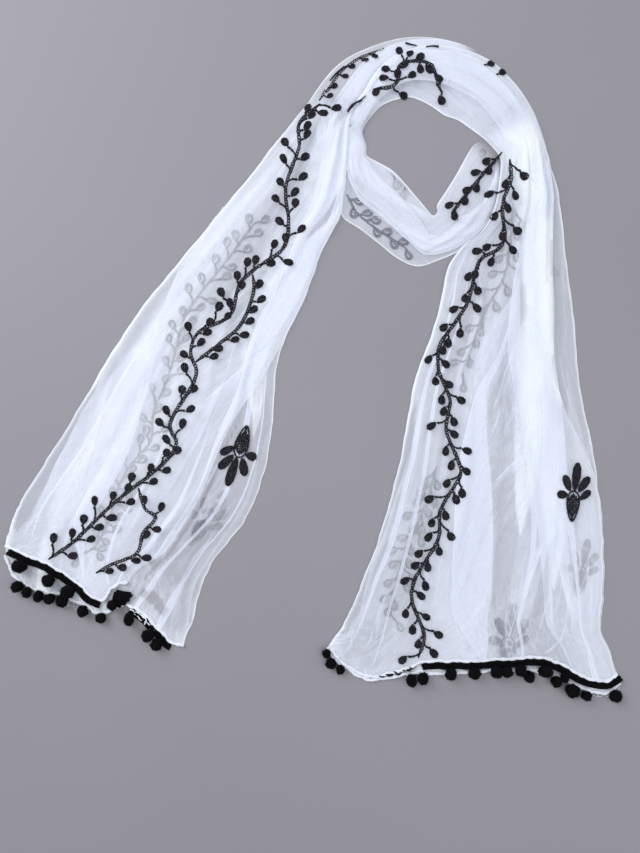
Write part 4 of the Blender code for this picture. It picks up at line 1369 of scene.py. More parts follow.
# %% Finishes of thread, hem and lace
def thread_finish(name, dark, light, rough, scale):
    finish = Finish(name, Roughness=rough, Specular_IOR_Level=0.12)
    twist = finish.noise(finish.place(), scale, 2.0, 0.6)
    # Painted highlight: where the twist noise is high the colour turns to the light one, flecks that stand
    # in for the shine on each twist.
    finish.feed("Base Color", finish.mix((twist - 0.35).clamped(), (*dark, 1), (*light, 1)))
    finish.feed("Roughness", rough + 0.2 * twist)
    finish.feed("Normal", finish.bump(twist, 0.0003, 0.7))
    return finish.material


def hem_finish():
    finish = Finish("rolled_chiffon", Roughness=0.6, Sheen_Weight=0.1)
    crinkle = finish.noise(finish.place(), 420, 3.0, 0.6)
    finish.feed("Base Color", finish.mix(crinkle, (0.78, 0.83, 0.95, 1), (0.90, 0.93, 0.99, 1)))
    finish.feed("Normal", finish.bump(crinkle, 0.0006, 0.8))
    return finish.material


# The second colour of each thread is its painted highlight.
black_thread = thread_finish("black_thread", (0.003, 0.003, 0.005), (0.11, 0.11, 0.14), 0.55, 480)
veiled_thread = thread_finish("veiled_thread", (0.03, 0.03, 0.05), (0.09, 0.09, 0.13), 0.8, 900)
pale_thread = thread_finish("pale_thread", (0.24, 0.25, 0.30), (0.34, 0.35, 0.41), 0.8, 900)
black_lace = thread_finish("black_lace", (0.0015, 0.0015, 0.002), (0.010, 0.010, 0.014), 0.85, 700)
rolled_hem = hem_finish()
print("finishes of the threads:", black_thread.name, veiled_thread.name, pale_thread.name)

# %% [markdown]
# ## The vine
# Each stem is a row of chain stitch: open loops, each caught in the one before. A leaf is the
# same thread laid round and round from the rim to the middle, on a short stalk. The stem runs
# through a few waypoints. Leaves follow a rule, which saves placing some two hundred of them
# by hand: they sit on both sides of a stem, or on one side of a twig, unevenly spaced.

# %% Chain and rope
LINK_STEP = 3.0       # millimetres from one chain loop to the next
LINK_LONG = 4.7
LINK_WIDE = 4.1
LINK_POINTS = 8
THREAD = 0.58         # radius of the thread
BACK_THREAD = 0.42    # and of what is sewn on the back of the cloth
BACK_HEIGHT = 0.3
# A needle sews on one ground: on its top, on its lowest layer (under) or on the cloth's back.
Needle = namedtuple("Needle", "stitches ground under", defaults=(False,))


def lay_down(needle, points, raise_by):
    """Plan points set on the cloth, or below it for what is sewn on the back."""
    if needle.under == "back":
        return [Vector((p.x, p.y, BACK_HEIGHT)) for p in points]
    heights = [needle.ground.height(p.x, p.y, needle.under) or 0.4 for p in points]
    return [Vector((p.x, p.y, height + raise_by)) for p, height in zip(points, heights)]


def add_chain(needle, line, size=1.0):
    """Chain stitch along a line, narrow at both ends and never quite even."""
    for k, spot in enumerate(line[:-1]):
        way = (line[k + 1] - spot).normalized()
        side = left_of(way)
        wild = uneven(spot.x / 4, spot.y / 4, 3)
        to_end = min(k, len(line) - 2 - k)
        wide = LINK_WIDE * (1 + 0.35 * wild) * (0.35 + 0.65 * smooth_step(to_end / 2.5))
        middle = spot + side * 0.5 * uneven(spot.x / 6, spot.y / 6, 8)
        loop = []
        for s in range(LINK_POINTS):
            angle = 2 * math.pi * s / LINK_POINTS
            narrow = 0.74 + 0.26 * math.cos(angle)
            forward = way * LINK_LONG * size / 2 * math.cos(angle)
            loop.append(middle + forward + side * wide * size / 2 * math.sin(angle) * narrow)
        radii = [THREAD * size * (1 + 0.2 * wild)] * LINK_POINTS
        needle.stitches.tube(lay_down(needle, loop, 0.45), radii, 4, closed=True)


def add_rope(needle, line, thick, height=0.5, grow=0.0):
    """A line of small tight stitches. It may grow thicker on its way."""
    count = len(line)
    radii = twisted(BACK_THREAD if needle.under == "back" else thick, count, 0.68)
    radii = [radius * (1 + grow * k / count) for k, radius in enumerate(radii)]
    needle.stitches.tube(lay_down(needle, line, height), radii, 5)


# %% A leaf
# How a leaf is wound: millimetres between rounds, the thread's radius, and how much the rounds
# keep to the rim. A leaf on the under layer shows as a ring.
Winding = namedtuple("Winding", "step thick hug")
LEAF_WINDING = Winding(1.75, 0.97, 1.0)
PETAL_WINDING = Winding(1.6, 0.92, 1.0)
GHOST_WINDING = Winding(2.7, 0.74, 2.4)
LONG_LEAF = 18.0      # a leaf longer than this is wound with more points


def heading_way(angle):
    return Vector((math.cos(angle), math.sin(angle)))


def add_leaf(needle, base, heading, long, wide, winding):
    """Thread wound from a teardrop's rim to its middle; base is where the stalk meets it."""
    way = heading_way(heading)
    side = left_of(way)
    middle = base + way * long / 2
    turns = max(2, round(wide / 2 / winding.step))
    steps = turns * (14 if long < LONG_LEAF else 20)
    path = []
    for k in range(steps + 1):
        inward = (wide / 2 - 1.1) * (k / steps) ** winding.hug
        angle = math.pi + 2 * math.pi * turns * k / steps
        taper = 0.85 + 0.20 * math.cos(angle)
        half_long = long / 2 - 0.9 - inward
        half_wide = wide / 2 - 0.9 - inward
        aside = side * half_wide * taper * math.sin(angle)
        path.append(middle + way * half_long * math.cos(angle) + aside)
    add_rope(needle, path, winding.thick, 0.55)


# %% A stem with its leaves
LEAF_ROOM = 9.0       # millimetres between the middles of two leaves
STEM_ROOM = 12.0      # and between a leaf's middle and another stem
LEAF_LONG = 12.6
LEAF_WIDE = 10.8
GHOST_CHAIN = 0.62    # size of the chain on the under layer, against the one on top
# first: where the first leaf may be; gap: between leaves; room: how long the stalks are;
# back: the stem runs the other way; only: leaves on both sides (0), the left (1) or the right (-1).
VINE_PARTS = "stem seed first gap room back size only"
Vine = namedtuple("Vine", VINE_PARTS, defaults=(5.0, 12.5, 1.0, False, 1.0, 0))
Leaf = namedtuple("Leaf", "heading turn")


def free_leaf(needle, vine, spot, way, others, side, stalk, wild):
    """A leaf's heading where there is room and cloth, tried on one side and then the other."""
    for turn in (side, -side):
        heading = math.atan2(way.y, way.x) + turn * math.radians(44 + 42 * wild)
        out = heading_way(heading)
        middle = spot + out * (stalk + 5.5)
        free = turn != -vine.only
        free = free and all((middle - leaf).length > LEAF_ROOM for leaf in needle.stitches.leaves)
        free = free and all((middle - point).length > STEM_ROOM for point in others)
        if free and needle.ground.covers(spot + out * (stalk + 10), 3.0):
            needle.stitches.leaves.append(middle)
            return Leaf(heading, turn)
    return None


def add_vine(needle, vine, line, others):
    """A stem and its leaves; others are points of stems that the leaves keep clear of."""
    add_chain(needle, line, GHOST_CHAIN if needle.under else vine.size)
    length = len(line) * LINK_STEP
    along = vine.first
    side = 1 if vine.seed % 2 else -1
    made = 0
    while along < length - 3:
        spot = line[min(len(line) - 2, int(along / LINK_STEP))]
        way = (line[min(len(line) - 1, int(along / LINK_STEP) + 1)] - spot).normalized()
        wild = uneven(along / 9, vine.seed * 3.1, 0.5)
        wild_more = uneven(along / 6, vine.seed * 5.7, 9.5)
        stalk = (4.8 + 9.5 * abs(wild_more) + (5.5 if made % 3 == 0 else 0)) * vine.room
        leaf = free_leaf(needle, vine, spot, way, others, side, stalk, wild)
        if leaf is None:
            along += vine.gap * 0.4
            continue
        end = spot + heading_way(leaf.heading) * stalk
        curve = [spot.lerp(end, t / 6) + way * 1.8 * math.sin(math.pi * t / 6) for t in range(7)]
        add_rope(needle, curve, 0.9 if needle.under else 1.05 * vine.size, grow=0.6)
        turned = leaf.heading - leaf.turn * math.radians(14 + 16 * wild_more)
        long = (LEAF_LONG + 2.4 * wild) * vine.size
        wide = (LEAF_WIDE + 1.8 * wild_more) * vine.size
        add_leaf(needle, curve[-1], turned, long, wide, GHOST_WINDING if needle.under else LEAF_WINDING)
        along += vine.gap * (0.55 + 0.55 * abs(wild) + 0.3 * (made % 2))
        side = -leaf.turn
        made += 1
    return made


def sew_vines(needle, vines):
    """Sew all stems of one piece, so that no leaf lies on another leaf or stem."""
    lines = [smooth_line(vine.stem[::-1] if vine.back else vine.stem, LINK_STEP) for vine in vines]
    made = 0
    for k, vine in enumerate(vines):
        others = [point for j, line in enumerate(lines) if j != k for point in line[::2]]
        made += add_vine(needle, vine, lines[k], others)
    return made


# %% A twig: a short stalk with one leaf at its end
Twig = namedtuple("Twig", "from_x from_y to_x to_y")


def add_twigs(needle, twigs):
    winding = GHOST_WINDING if needle.under else LEAF_WINDING
    for twig in twigs:
        start = Vector((twig.from_x, twig.from_y))
        end = Vector((twig.to_x, twig.to_y))
        way = (end - start).normalized()
        root = start + way * max(0.0, (end - start).length - 5)
        add_rope(needle, [start.lerp(root, t / 4) for t in range(5)], 1.2)
        add_leaf(needle, root, math.atan2(way.y, way.x), 11.5, 10.5, winding)


# %% Where the stems on the top run
LEFT_STEM = [
    (14, 286), (-10, 264), (-11, 236), (-25, 193), (-22, 154), (-29, 127), (-62, 103), (-77, 86),
    (-86, 55), (-119, 38), (-129, 16), (-124, -13), (-151, -61), (-145, -86), (-163, -110),
    (-212, -149), (-255, -190), (-283, -210),
]
LEFT_SIDE_STEM = [(-62, 103), (-60, 83), (-70, 53), (-84, 35), (-122, 6)]
LEFT_TWIG = [
    (-187, -132), (-179, -155), (-168, -166), (-181, -182), (-187, -203), (-200, -211),
    (-214, -216), (-231, -225),
]
RIGHT_STEM = [
    (218, 222), (219, 201), (212, 182), (210, 162), (213, 142), (206, 127), (185, 113), (174, 72),
    (160, 48), (143, 23), (142, -6), (154, -37), (150, -70), (163, -103), (164, -122), (144, -157),
    (141, -190), (116, -232), (113, -258), (126, -294), (119, -321),
]
BAND_STEM = [(209, 231), (192, 212), (169, 184), (154, 164)]
ARC_STEM = [
    (72, 301), (89, 303), (97, 310), (97, 323), (104, 329), (119, 330), (132, 326), (139, 311),
    (147, 297),
]
ARC_OUTER_STEM = [(12, 290), (24, 309), (38, 327), (60, 341), (84, 349)]
ARC_TWIGS = table(
    Twig,
    (97, 316, 84, 322), (95, 309, 82, 312), (99, 310, 111, 315), (104, 328, 99, 344),
    (104, 329, 109, 339), (92, 303, 103, 298), (79, 302, 74, 298), (120, 330, 121, 322),
)
OUTER_TWIGS = [Twig(191, 328, 198, 331), Twig(204, 317, 211, 322)]
# Leaves seen almost edge on, where the cloth turns over.
EDGE_STROKES = [
    [(118, 351), (112, 352), (105, 354)], [(128, 349), (135, 350), (143, 349)],
    [(62, 294), (54, 288), (47, 284), (42, 276)],
    [(42, 276), (50, 285), (58, 290)], [(23, 314), (30, 322), (40, 330)],
]

# %% Where the stems of the hidden layers run
LEFT_GHOST_STEM = [
    (-58, 160), (-78, 133), (-95, 111), (-119, 81), (-137, 53), (-145, 23), (-156, -15),
    (-171, -50), (-174, -81), (-196, -108), (-209, -133), (-218, -163), (-234, -196), (-253, -208),
]
RIGHT_GHOST_STEM = [(140, -111), (126, -157), (106, -203), (96, -239), (86, -275)]
RIGHT_FOLD_STEM = [(224, 178), (222, 140), (214, 98), (194, 62), (178, 20), (166, -16)]
BAND_GHOST_STEM = [(42, 188), (52, 170), (70, 154), (90, 141), (108, 129)]
INNER_GHOST_STEM = [(90, 212), (103, 199), (113, 186)]
LEFT_GHOST_TWIGS = table(
    Twig,
    (-209, -133, -199, -141), (-214, -150, -200, -156), (-224, -170, -212, -178),
    (-232, -186, -224, -192), (-236, -198, -230, -208), (-250, -206, -262, -200),
    (-250, -208, -256, -216),
)
RIGHT_GHOST_TWIGS = [Twig(228, -38, 231, -44), Twig(231, -58, 233, -66)]
STRIP_TWIGS = [Twig(270, 112, 271, 104), Twig(187, 228, 190, 234)]

# %% Sew the vines on the top
vine_left = Stitches()
leaves = sew_vines(Needle(vine_left, ground), [
    Vine(LEFT_STEM, 1, back=True),
    Vine(LEFT_SIDE_STEM, 2, first=8, gap=17, room=0.6, back=True, only=-1),
    Vine(LEFT_TWIG, 3, first=2, gap=16, room=0.5, back=True, size=0.95, only=-1),
])
vine_right = Stitches()
leaves += sew_vines(Needle(vine_right, ground), [Vine(RIGHT_STEM, 5)])
vine_neck = Stitches()
at_neck = Needle(vine_neck, ground)
leaves += sew_vines(at_neck, [
    Vine(BAND_STEM, 6, room=0.5),
    Vine(ARC_STEM, 7, first=26, gap=22, room=0.35),
    Vine(ARC_OUTER_STEM, 8, gap=19, room=0.3, size=0.72),
])
add_twigs(at_neck, ARC_TWIGS + OUTER_TWIGS)
for stroke in EDGE_STROKES:
    add_rope(at_neck, smooth_line(stroke, 1.4), 0.7, grow=1.2)
print("leaves on the top:", leaves)

# %% Sew the vines of the hidden layers, which show as shadows
ghost_left = Stitches()
left_under_needle = Needle(ghost_left, Ground([left_cloth]), under=True)
leaves = sew_vines(left_under_needle, [Vine(LEFT_GHOST_STEM, 9, back=True)])
add_twigs(left_under_needle, LEFT_GHOST_TWIGS)
ghost_right = Stitches()
right_under_needle = Needle(ghost_right, Ground([right_cloth]), under=True)
leaves += sew_vines(right_under_needle, [Vine(RIGHT_GHOST_STEM, 10, gap=9), Vine(RIGHT_FOLD_STEM, 11)])
add_twigs(right_under_needle, RIGHT_GHOST_TWIGS)
ghost_band = Stitches()
band_vines = [Vine(BAND_GHOST_STEM, 12, room=0.4), Vine(INNER_GHOST_STEM, 13, room=0.4)]
leaves += sew_vines(Needle(ghost_band, Ground([front_band]), under=True), band_vines)
add_twigs(Needle(ghost_right, ground, "back"), STRIP_TWIGS)
print("leaves of the hidden layers:", leaves)

# %% [markdown]
# ## The flowers
# Every few hands along the cloth there is one small flower: five petals over a pointed cone.
# The petals are wound like the leaves. The cone is filled with rows of thread.

# %% Flower
CONE_LONG = 31
Petal = namedtuple("Petal", "aside up lean long wide")
PETALS = [
    Petal(0.5, 2.0, -4, 33, 12.5),
    Petal(-4.5, 1.5, 22, 20, 11.5),
    Petal(4.5, 1.5, -33, 22, 11.5),
    Petal(-6.0, -3.0, 84, 13, 12.0),
    Petal(6.5, -6.5, -48, 17, 10.5),
]
CONE_ROWS = (-5.4, -3.6, -1.8, 0.0, 1.8, 3.6, 5.4)


def add_cone(needle, tip, up, side, size):
    """The pointed cone: a rim, rows of chain inside it, and a thick tip."""
    rim = []
    for k in range(41):
        turned = 2 * math.pi * k / 40
        taper = 0.80 + 0.32 * math.cos(turned)
        out = up * (17 + 16.5 * math.cos(turned)) + side * 8.0 * taper * math.sin(turned)
        rim.append(tip + out * size)
    add_rope(needle, rim, 1.1, 0.8)
    for shift in CONE_ROWS:
        start = tip + (up * (6 + 1.2 * abs(shift)) + side * shift * 0.8) * size
        end = tip + (up * (32 - 0.9 * abs(shift)) + side * shift) * size
        steps = int((end - start).length / 2.3)
        row = [start.lerp(end, t / steps) for t in range(steps + 1)]
        add_chain(needle, row, 0.74)
    add_rope(needle, [tip + up * (2 + 1.4 * t) * size for t in range(6)], 1.5)


def add_flower(needle, x, y, turn, size=1.0):
    """A flower at a place; turn is how far its cone leans from straight down, in degrees."""
    angle = math.radians(turn)
    up = Vector((math.sin(angle), math.cos(angle)))
    side = Vector((up.y, -up.x))
    foot = Vector((x, y))
    heading = math.atan2(up.y, up.x)
    winding = GHOST_WINDING._replace(hug=1.0) if needle.under else PETAL_WINDING
    for petal in PETALS:
        base = foot + (side * petal.aside + up * petal.up) * size
        lean = heading + math.radians(petal.lean)
        add_leaf(needle, base, lean, petal.long * size, petal.wide * size, winding)
    add_cone(needle, foot - up * CONE_LONG * size, up, side, size)


flower_left = Stitches()
flower_right = Stitches()
add_flower(Needle(flower_left, ground), -77, -97, 196, 1.08)
add_flower(Needle(flower_right, ground), 289, -139, 4)
add_flower(Needle(ghost_left, ground, "back"), -114, -168, 30, 1.1)
add_flower(right_under_needle, 299, -222, 8)
add_flower(right_under_needle, 219, -300, 4, 1.2)

# %% Make the embroidery
EMBROIDERY = {
    "left": {"vine_left": vine_left, "under_vine_left": ghost_left, "flower_left": flower_left},
    "right": {"vine_right": vine_right, "under_vine_right": ghost_right, "flower_right": flower_right},
    "neck": {"vine_neck": vine_neck},
    "band": {"under_vine_band": ghost_band},
}
FINISHES = {
    "under_vine_left": veiled_thread,
    "under_vine_right": veiled_thread,
    "under_vine_band": pale_thread,
}
embroidery = {
    place: [stitches.make(name, FINISHES.get(name, black_thread)) for name, stitches in sewn.items()]
    for place, sewn in EMBROIDERY.items()
}

# %% [markdown]
# ## Edges, hems and lace
# The end of each layer is rolled to a narrow hem, and the lace is sewn along it: a braid of
# three cords with a pompom every few centimetres. The lines below follow the layer's end at
# a chosen distance out, with the same corners as the solid's.

# %% A line beside an edge
SEAM_GAP = 0.3
ROLL_WIDE = 2.6
ROLL_HIGH = 2.0
BRAID_THICK = 1.2
BRAID_WIDE = 6.2
BRAID_NARROW = 1.6
POMPOM_NECK = 0.4
FINER = 6             # how many times finer the shown edge is than the solid's
UPPER_CORNERS = 22    # corners of the solid's edge on the upper layer
UNDER_CORNERS = 16


class Edge:
    """An edge of cloth seen from above, and the lines that run parallel to it."""

    def __init__(self, points):
        self.points = points
        self.marks = [0.0]
        self.normals = []
        for a, b in zip(points, points[1:]):
            self.marks.append(self.marks[-1] + (b - a).length)
            self.normals.append(Vector((b.y - a.y, a.x - b.x)).normalized())
        self.length = self.marks[-1]

    def mitre(self, k):
        before = self.normals[max(0, k - 1)]
        after = self.normals[min(len(self.normals) - 1, k)]
        middle = (before + after).normalized()
        return middle / max(0.5, middle.dot(after))

    def beside(self, along, out, z):
        along = min(max(along, 0.0), self.length - 1e-6)
        k = max(i for i in range(len(self.normals)) if self.marks[i] <= along)
        share = (along - self.marks[k]) / (self.marks[k + 1] - self.marks[k])
        start = self.points[k] + self.mitre(k) * out
        end = self.points[k + 1] + self.mitre(k + 1) * out
        spot = start.lerp(end, share)
        return Vector((spot.x, spot.y, z))

    def corner(self, k):
        """How far along the solid's corner k is."""
        return self.marks[min(k * FINER, len(self.marks) - 1)]


left_upper = Edge(left.hem_line("upper", LEFT_REACH[0], UPPER_CORNERS * FINER))
left_under = Edge(left.hem_line("under", 1.0, UNDER_CORNERS * FINER))
right_upper = Edge(right.hem_line("upper", RIGHT_REACH[0], UPPER_CORNERS * FINER))
right_under = Edge(right.hem_line("under", 1.0, UNDER_CORNERS * FINER))
print("hem lengths:", [round(e.length) for e in (left_upper, left_under, right_upper, right_under)], "mm")

# %% [markdown]
# ### The rolled hem
# A chiffon hem is rolled between the fingers and never comes out even. Two tubes that twist
# round each other, each a little thick and thin, catch the light as the real roll does.

# %% Rolled hem
ROLL_STEP = 0.9
ROLL_TURNS = {0.0: 1.5, math.pi: 1.1}     # where each of the two tubes starts, and its radius


def rolled(edge, z, seed):
    """A thin uneven roll with a second turn of cloth twisting round it."""
    stitches = Stitches()
    middle = SEAM_GAP + ROLL_WIDE / 2 - 0.4
    count = int(edge.length / ROLL_STEP)
    for turn, thick in ROLL_TURNS.items():
        path = []
        radii = []
        for k in range(count + 1):
            along = edge.length * k / count
            wild = uneven(along / 7, seed, turn)
            finer = uneven(along / 2.4, seed + 9, turn)
            phase = along / 3.2 + turn
            out = middle + 0.8 * math.sin(phase) + 0.7 * wild
            path.append(edge.beside(along, out, z + 0.25 * math.cos(phase)))
            radii.append(thick * (1 + 0.25 * wild + 0.22 * finer))
        stitches.tube(path, radii, 8)
    return stitches


hems = {
    "hem_left_upper": rolled(left_upper, 2.5, 1),
    "hem_left_under": rolled(left_under, 1.2, 2),
    "hem_right_upper": rolled(right_upper, 2.5, 3),
    "hem_right_under": rolled(right_under, 1.2, 4),
}
print("points in the hems:", [len(stitches.points) for stitches in hems.values()])

# %% [markdown]
# ### The pompoms
# A pompom is a bundle of cut yarn. A smooth ball would look like a bead, so each one is a lumpy
# body with about two hundred short pointed ends standing out of it, all in one mesh.

# %% Pompom
BODY_RINGS = 9
BODY_AROUND = 14
YARN_ENDS = 190
YARN_WIDE = 0.28
GOLDEN_TURN = 2.39996       # the angle that spreads points evenly over a ball


def pompom_body(stitches, centre, shape, radius, seed):
    first = len(stitches.points)
    for r in range(BODY_RINGS + 1):
        theta = math.pi * r / BODY_RINGS
        for s in range(BODY_AROUND):
            phi = 2 * math.pi * s / BODY_AROUND
            flat = math.sin(theta)
            way = Vector((flat * math.cos(phi), flat * math.sin(phi), math.cos(theta)))
            lump = 1 + 0.26 * noise.noise(way * 2.0 + Vector((seed, 0, 0)))
            lump += 0.12 * noise.noise(way * 6 + Vector((0, seed, 0)))
            stitches.points.append(centre + way * shape * radius * 0.96 * lump)
    for r in range(BODY_RINGS):
        ring = first + r * BODY_AROUND
        stitches.join_rings(ring, ring + BODY_AROUND, BODY_AROUND)


def add_pompom(stitches, centre, radius, seed):
    """A ball of cut yarn: a lumpy body and many short ends that stand out of it."""
    stray = Vector(noise.noise_vector(Vector((seed * 2.3, 1.1, 0.4))))
    shape = Vector((1 + 0.30 * stray.x, 1 + 0.30 * stray.y, 1 - 0.10 * abs(stray.z)))
    pompom_body(stitches, centre, shape, radius, seed)
    for k in range(YARN_ENDS):
        z = 1 - 2 * (k + 0.5) / YARN_ENDS
        phi = k * GOLDEN_TURN + seed
        flat = math.sqrt(1 - z * z)
        way = Vector((flat * math.cos(phi), flat * math.sin(phi), z))
        lean = way + 0.35 * Vector(noise.noise_vector(way * 5 + Vector((seed, seed, 0))))
        side = way.cross(Vector((0.3, 0.2, 1))).normalized() * YARN_WIDE
        other = way.cross(side).normalized() * YARN_WIDE
        lump = 1 + 0.26 * noise.noise(way * 2.0 + Vector((seed, 0, 0)))
        reach = lump * (1.16 + 0.16 * noise.noise(way * 9 + Vector((seed, 0, 0))))
        root = centre + way * shape * radius * 0.86 * lump
        tip = centre + lean.normalized() * shape * radius * reach
        base = len(stitches.points)
        stitches.points += [root + side, root - side * 0.5 + other, root - side * 0.5 - other, tip]
        stitches.faces += [(base + s, base + (s + 1) % 3, base + 3) for s in range(3)]


# %% [markdown]
# ### The braid
# The lace is a flat braid. Where it is turned up it shows three plaited cords between two
# firm edges; where it lies under the cloth only one thin cord shows.

# %% Braid, with its pompoms
# Each pompom: its place along the braid, and its radius.
LEFT_UPPER_POMPOMS = {20: 6.2, 57: 6.2, 83: 5.8, 121: 5.6}
LEFT_UNDER_POMPOMS = {34: 5.6, 46: 5.6, 58: 5.6, 70: 5.6, 88: 5.8, 114: 5.6, 132: 4.8}
LEFT_SIDE_POMPOMS = {4: 5.8, 36: 5.8, 51: 5.8}
RIGHT_UPPER_POMPOMS = {31: 5.8, 57: 5.8, 81: 5.8, 94: 5.8, 107: 5.6, 139: 5.8, 165: 4.8}
RIGHT_UNDER_POMPOMS = {
    5: 4.2, 15: 4.6, 26: 4.4, 105: 5.6, 119: 5.6,
    236: 5.6, 268: 5.4, 289: 5.8, 304: 5.8, 332: 5.4,
}
CORD_STEP = 1.1
PLAIT = 9.0           # millimetres in which a cord comes back to the same side
NEAR = SEAM_GAP + ROLL_WIDE + SEAM_GAP


def add_shown_braid(stitches, edge, alongs, wide, z, seed):
    """Three plaited cords between two edges, over a middle cord."""
    middle = NEAR + wide / 2 + 0.3
    for cord in range(3):
        path = []
        for along in alongs:
            phase = 2 * math.pi * along / PLAIT + 2 * math.pi * cord / 3
            out = middle + (wide / 2 - 0.5) * math.sin(phase) + 0.35 * uneven(along / 8, seed, cord)
            path.append(edge.beside(along, out, z + 0.5 * math.sin(2 * phase)))
        stitches.tube(path, twisted(1.3, len(path), 0.85), 6)
    for out in (NEAR + 0.4, NEAR + wide, middle):
        path = [edge.beside(along, out, z - 0.2) for along in alongs]
        stitches.tube(path, [1.15 if k % 2 else 0.85 for k in range(len(path))], 6)


def add_hidden_braid(stitches, edge, alongs, seed):
    path = [edge.beside(along, 1.0 + 0.35 * uneven(along / 8, seed, 0), 0.6) for along in alongs]
    stitches.tube(path, twisted(0.5, len(path), 0.85), 6)


def lace(edge, first, last, wide, z, pompoms, seed):
    """The braid between two corners of the solid's edge, and its pompoms."""
    stitches = Stitches()
    start = edge.corner(first)
    end = edge.corner(last)
    count = int((end - start) / CORD_STEP)
    alongs = [start + (end - start) * k / count for k in range(count + 1)]
    shown = wide > BRAID_NARROW
    if shown:
        add_shown_braid(stitches, edge, alongs, wide, z, seed)
    else:
        add_hidden_braid(stitches, edge, alongs, seed)
    for k, (place, radius) in enumerate(pompoms.items()):
        along = start + place
        wild = uneven(along / 5, seed, 1.5)
        out = NEAR + wide + POMPOM_NECK + radius + wild - (2.2 if shown else 4.4)
        centre = edge.beside(along, out, z - BRAID_THICK / 2 + radius)
        root = edge.beside(along, NEAR + wide - 2, z)
        stitches.tube([root, root.lerp(centre, 0.5)], [1.2, 1.0], 6)
        add_pompom(stitches, centre, radius * (1.16 + 0.10 * wild), seed + k * 1.7)
    return stitches


upper_z = ROLL_HIGH + SEAM_GAP + BRAID_THICK / 2
under_z = SEAM_GAP + BRAID_THICK / 2
laces = {
    "lace_left_upper": lace(left_upper, 1, 18, BRAID_WIDE, upper_z, LEFT_UPPER_POMPOMS, 1),
    "lace_left_under": lace(left_under, 0, 9, BRAID_NARROW, under_z, LEFT_UNDER_POMPOMS, 12),
    "lace_left_side": lace(left_under, 11, 15, BRAID_WIDE, under_z, LEFT_SIDE_POMPOMS, 23),
    "lace_right_upper": lace(right_upper, 7, 22, BRAID_WIDE, upper_z, RIGHT_UPPER_POMPOMS, 34),
    "lace_right_under": lace(right_under, 0, 16, BRAID_NARROW, under_z, RIGHT_UNDER_POMPOMS, 45),
}
print("points in the laces:", [len(stitches.points) for stitches in laces.values()])

# %% [markdown]
# ### Loose ends
# Cut chiffon frays, and a hand-sewn lace is never tidy. A few white threads curl out of the
# hems, and at two places the black thread winds over the white roll.

# %% Loose threads and mixed stitches
Frayed = namedtuple("Frayed", "edge along wide threads reach")
FRAY_POINTS = 14
LOOSE_THREAD = 0.24


def fray(stitches, frayed, seed):
    """Cut ends of white thread that curl out of a hem."""
    for k in range(frayed.threads):
        start = frayed.along + frayed.wide * ((k + 0.5) / frayed.threads - 0.5)
        path = []
        for t in range(FRAY_POINTS):
            run = t / (FRAY_POINTS - 1)
            curl = Vector(noise.noise_vector(Vector((k * 3.7 + seed, run * 1.9, 0.4))))
            out = 2.0 + frayed.reach * (0.35 + 0.65 * abs(curl.z)) * math.sin(math.pi * 0.8 * run)
            along = start + 9.0 * curl.x * run + 5.0 * curl.y * run
            path.append(frayed.edge.beside(along, out, 0.5 + 2.0 * abs(curl.y) + 0.8 * (1 - run)))
        stitches.tube(path, [LOOSE_THREAD] * FRAY_POINTS, 4)


# A cord that winds unevenly over and under what is already there, between two places along.
Twist = namedtuple("Twist", "edge start end out z thick wide pitch")


def add_twist(stitches, twist):
    count = int((twist.end - twist.start) / 0.8)
    path = []
    radii = []
    for k in range(count + 1):
        along = twist.start + (twist.end - twist.start) * k / count
        wild = uneven(along / 6, twist.out, 2.2)
        finer = uneven(along / 2.5, twist.out, 7.7)
        phase = 2 * math.pi * along / twist.pitch + 3.0 * wild
        out = twist.out + twist.wide * (0.7 + wild) * math.sin(phase) + finer
        path.append(twist.edge.beside(along, out, twist.z + 1.3 * math.cos(phase)))
        radii.append(twist.thick * (1 + 0.5 * finer))
    stitches.tube(path, radii, 6)


FRAYS = {
    "hem_right_upper": [
        Frayed(right_upper, right_upper.length - 16, 34, 16, 13),
        Frayed(right_upper, 52, 26, 7, 9),
    ],
    "hem_right_under": [Frayed(right_under, right_under.length - 30, 60, 8, 8)],
    "hem_left_upper": [Frayed(left_upper, 86, 20, 4, 12)],
    "hem_left_under": [
        Frayed(left_under, 96, 30, 6, 14),
        Frayed(left_under, left_under.length - 38, 12, 4, 12),
    ],
}
for seed, (node, places) in enumerate(FRAYS.items()):
    for frayed in places:
        fray(hems[node], frayed, 11.0 * seed)
side_start = left_under.corner(11)
left_side = hems["hem_left_under"]
add_twist(left_side, Twist(left_under, side_start, side_start + 30, 4.2, 2.9, 0.8, 1.6, 19))
add_twist(left_side, Twist(left_under, side_start + 6, side_start + 26, 7.2, 2.6, 0.6, 1.2, 13))
add_twist(laces["lace_right_upper"], Twist(right_upper, 64, 106, 2.0, 3.0, 0.8, 1.8, 8.5))
add_twist(laces["lace_right_upper"], Twist(right_upper, 76, 108, 3.4, 2.4, 0.9, 1.5, 11))
print("loose threads:", sum(frayed.threads for places in FRAYS.values() for frayed in places))

# %% [markdown]
# ### The gathered lace at the corner
# At the corner of the left end the lace is bunched up and sewn through, so its loops spread
# like a small fan. Fifteen cords side by side, every other one a little higher, give that.

# %% The gathered bunch of lace
CORDS = 15
CORD_POINTS = 10
BUNCH_REACH = 19.0


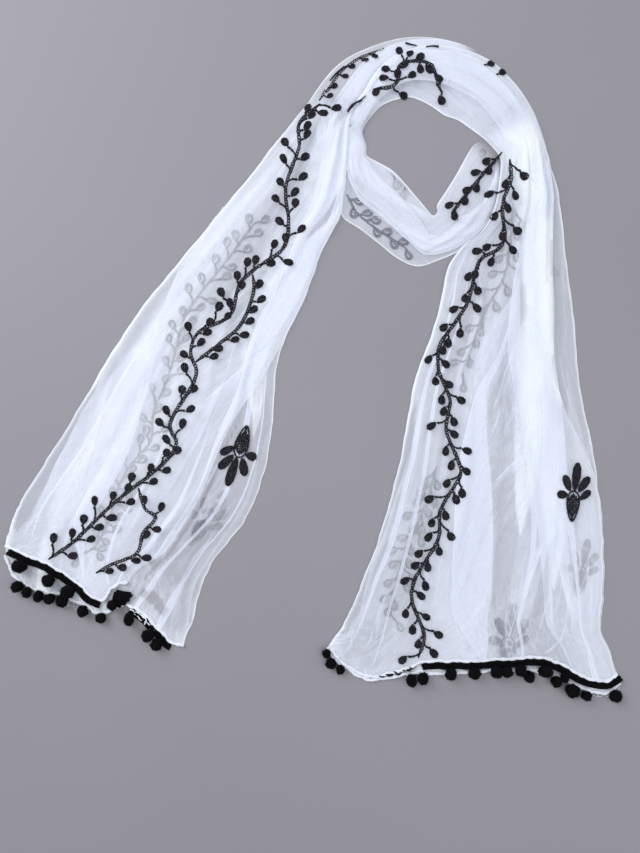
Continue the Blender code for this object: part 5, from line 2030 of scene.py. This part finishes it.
def bunch(apex, heading, spread_by, z):
    """Cords that fan out from an apex; heading and spread_by are in degrees."""
    stitches = Stitches()
    for k in range(CORDS):
        way = heading_way(math.radians(heading + spread_by * (k / (CORDS - 1) - 0.5)))
        reach = BUNCH_REACH * (1 + 0.07 * math.sin(k * 2.1))
        rise = 1.4 + 1.1 * (k % 2)
        path = []
        radii = []
        for t in range(CORD_POINTS):
            share = t / (CORD_POINTS - 1)
            place = way * reach * (0.12 + 0.88 * share)
            height = z + 1.0 + rise * math.sin(math.pi * min(1, share * 1.1))
            path.append(Vector((apex.x + place.x, apex.y + place.y, height)))
            radii.append((1.0 + 0.95 * share) * (1.0 if t % 2 else 0.85))
        stitches.tube(path, radii, 6)
    return stitches


apex = left_upper.beside(left_upper.length - 18, 5.0, 0)
laces["lace_left_bunch"] = bunch(apex, -56, 84, ROLL_HIGH + SEAM_GAP)

# %% Make the hems and laces
trims = {}
for node, stitches in hems.items():
    trims[node] = stitches.make(node.replace("hem", "rolled_hem"), rolled_hem)
for node, stitches in laces.items():
    trims[node] = stitches.make(node.replace("lace", "pompom_lace"), black_lace)
for node, piece in trims.items():
    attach(piece, "root")
    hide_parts(node)
for group in embroidery.values():
    for piece in group:
        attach(piece, "root")

# %% [markdown]
# ## What each piece is
# The table below gives each cloth's size before it was folded and what is sewn on it; only
# the area is used, printed beside the mesh's. Every piece rides on the one body, and stands for
# the solid that it covers.

Cut = namedtuple("Cut", "node width length area held trims")
CUTS = {
    left_cloth: Cut("left_fall", 0.50, 0.66, 0.25, "folded", ["left"]),
    right_cloth: Cut("right_fall", 0.72, 0.64, 0.34, "folded", ["right"]),
    neck_over: Cut("neck_over", 0.26, 0.29, 0.050, "gathered", ["neck"]),
    neck_under: Cut("neck_under", 0.14, 0.21, 0.015, "gathered", []),
    front_band: Cut("front_band", 0.24, 0.33, 0.050, "gathered", ["band"]),
}
for piece, cut in CUTS.items():
    area = sum(p.area for p in piece.data.polygons)
    sewn = [p for group in cut.trims for p in embroidery[group]]
    sewn += [p for node, p in trims.items() if node.split("_")[1] in cut.trims]
    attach(piece, "root")
    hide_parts(cut.node)
    print(piece.name, "area", round(area, 4), "of", cut.area)
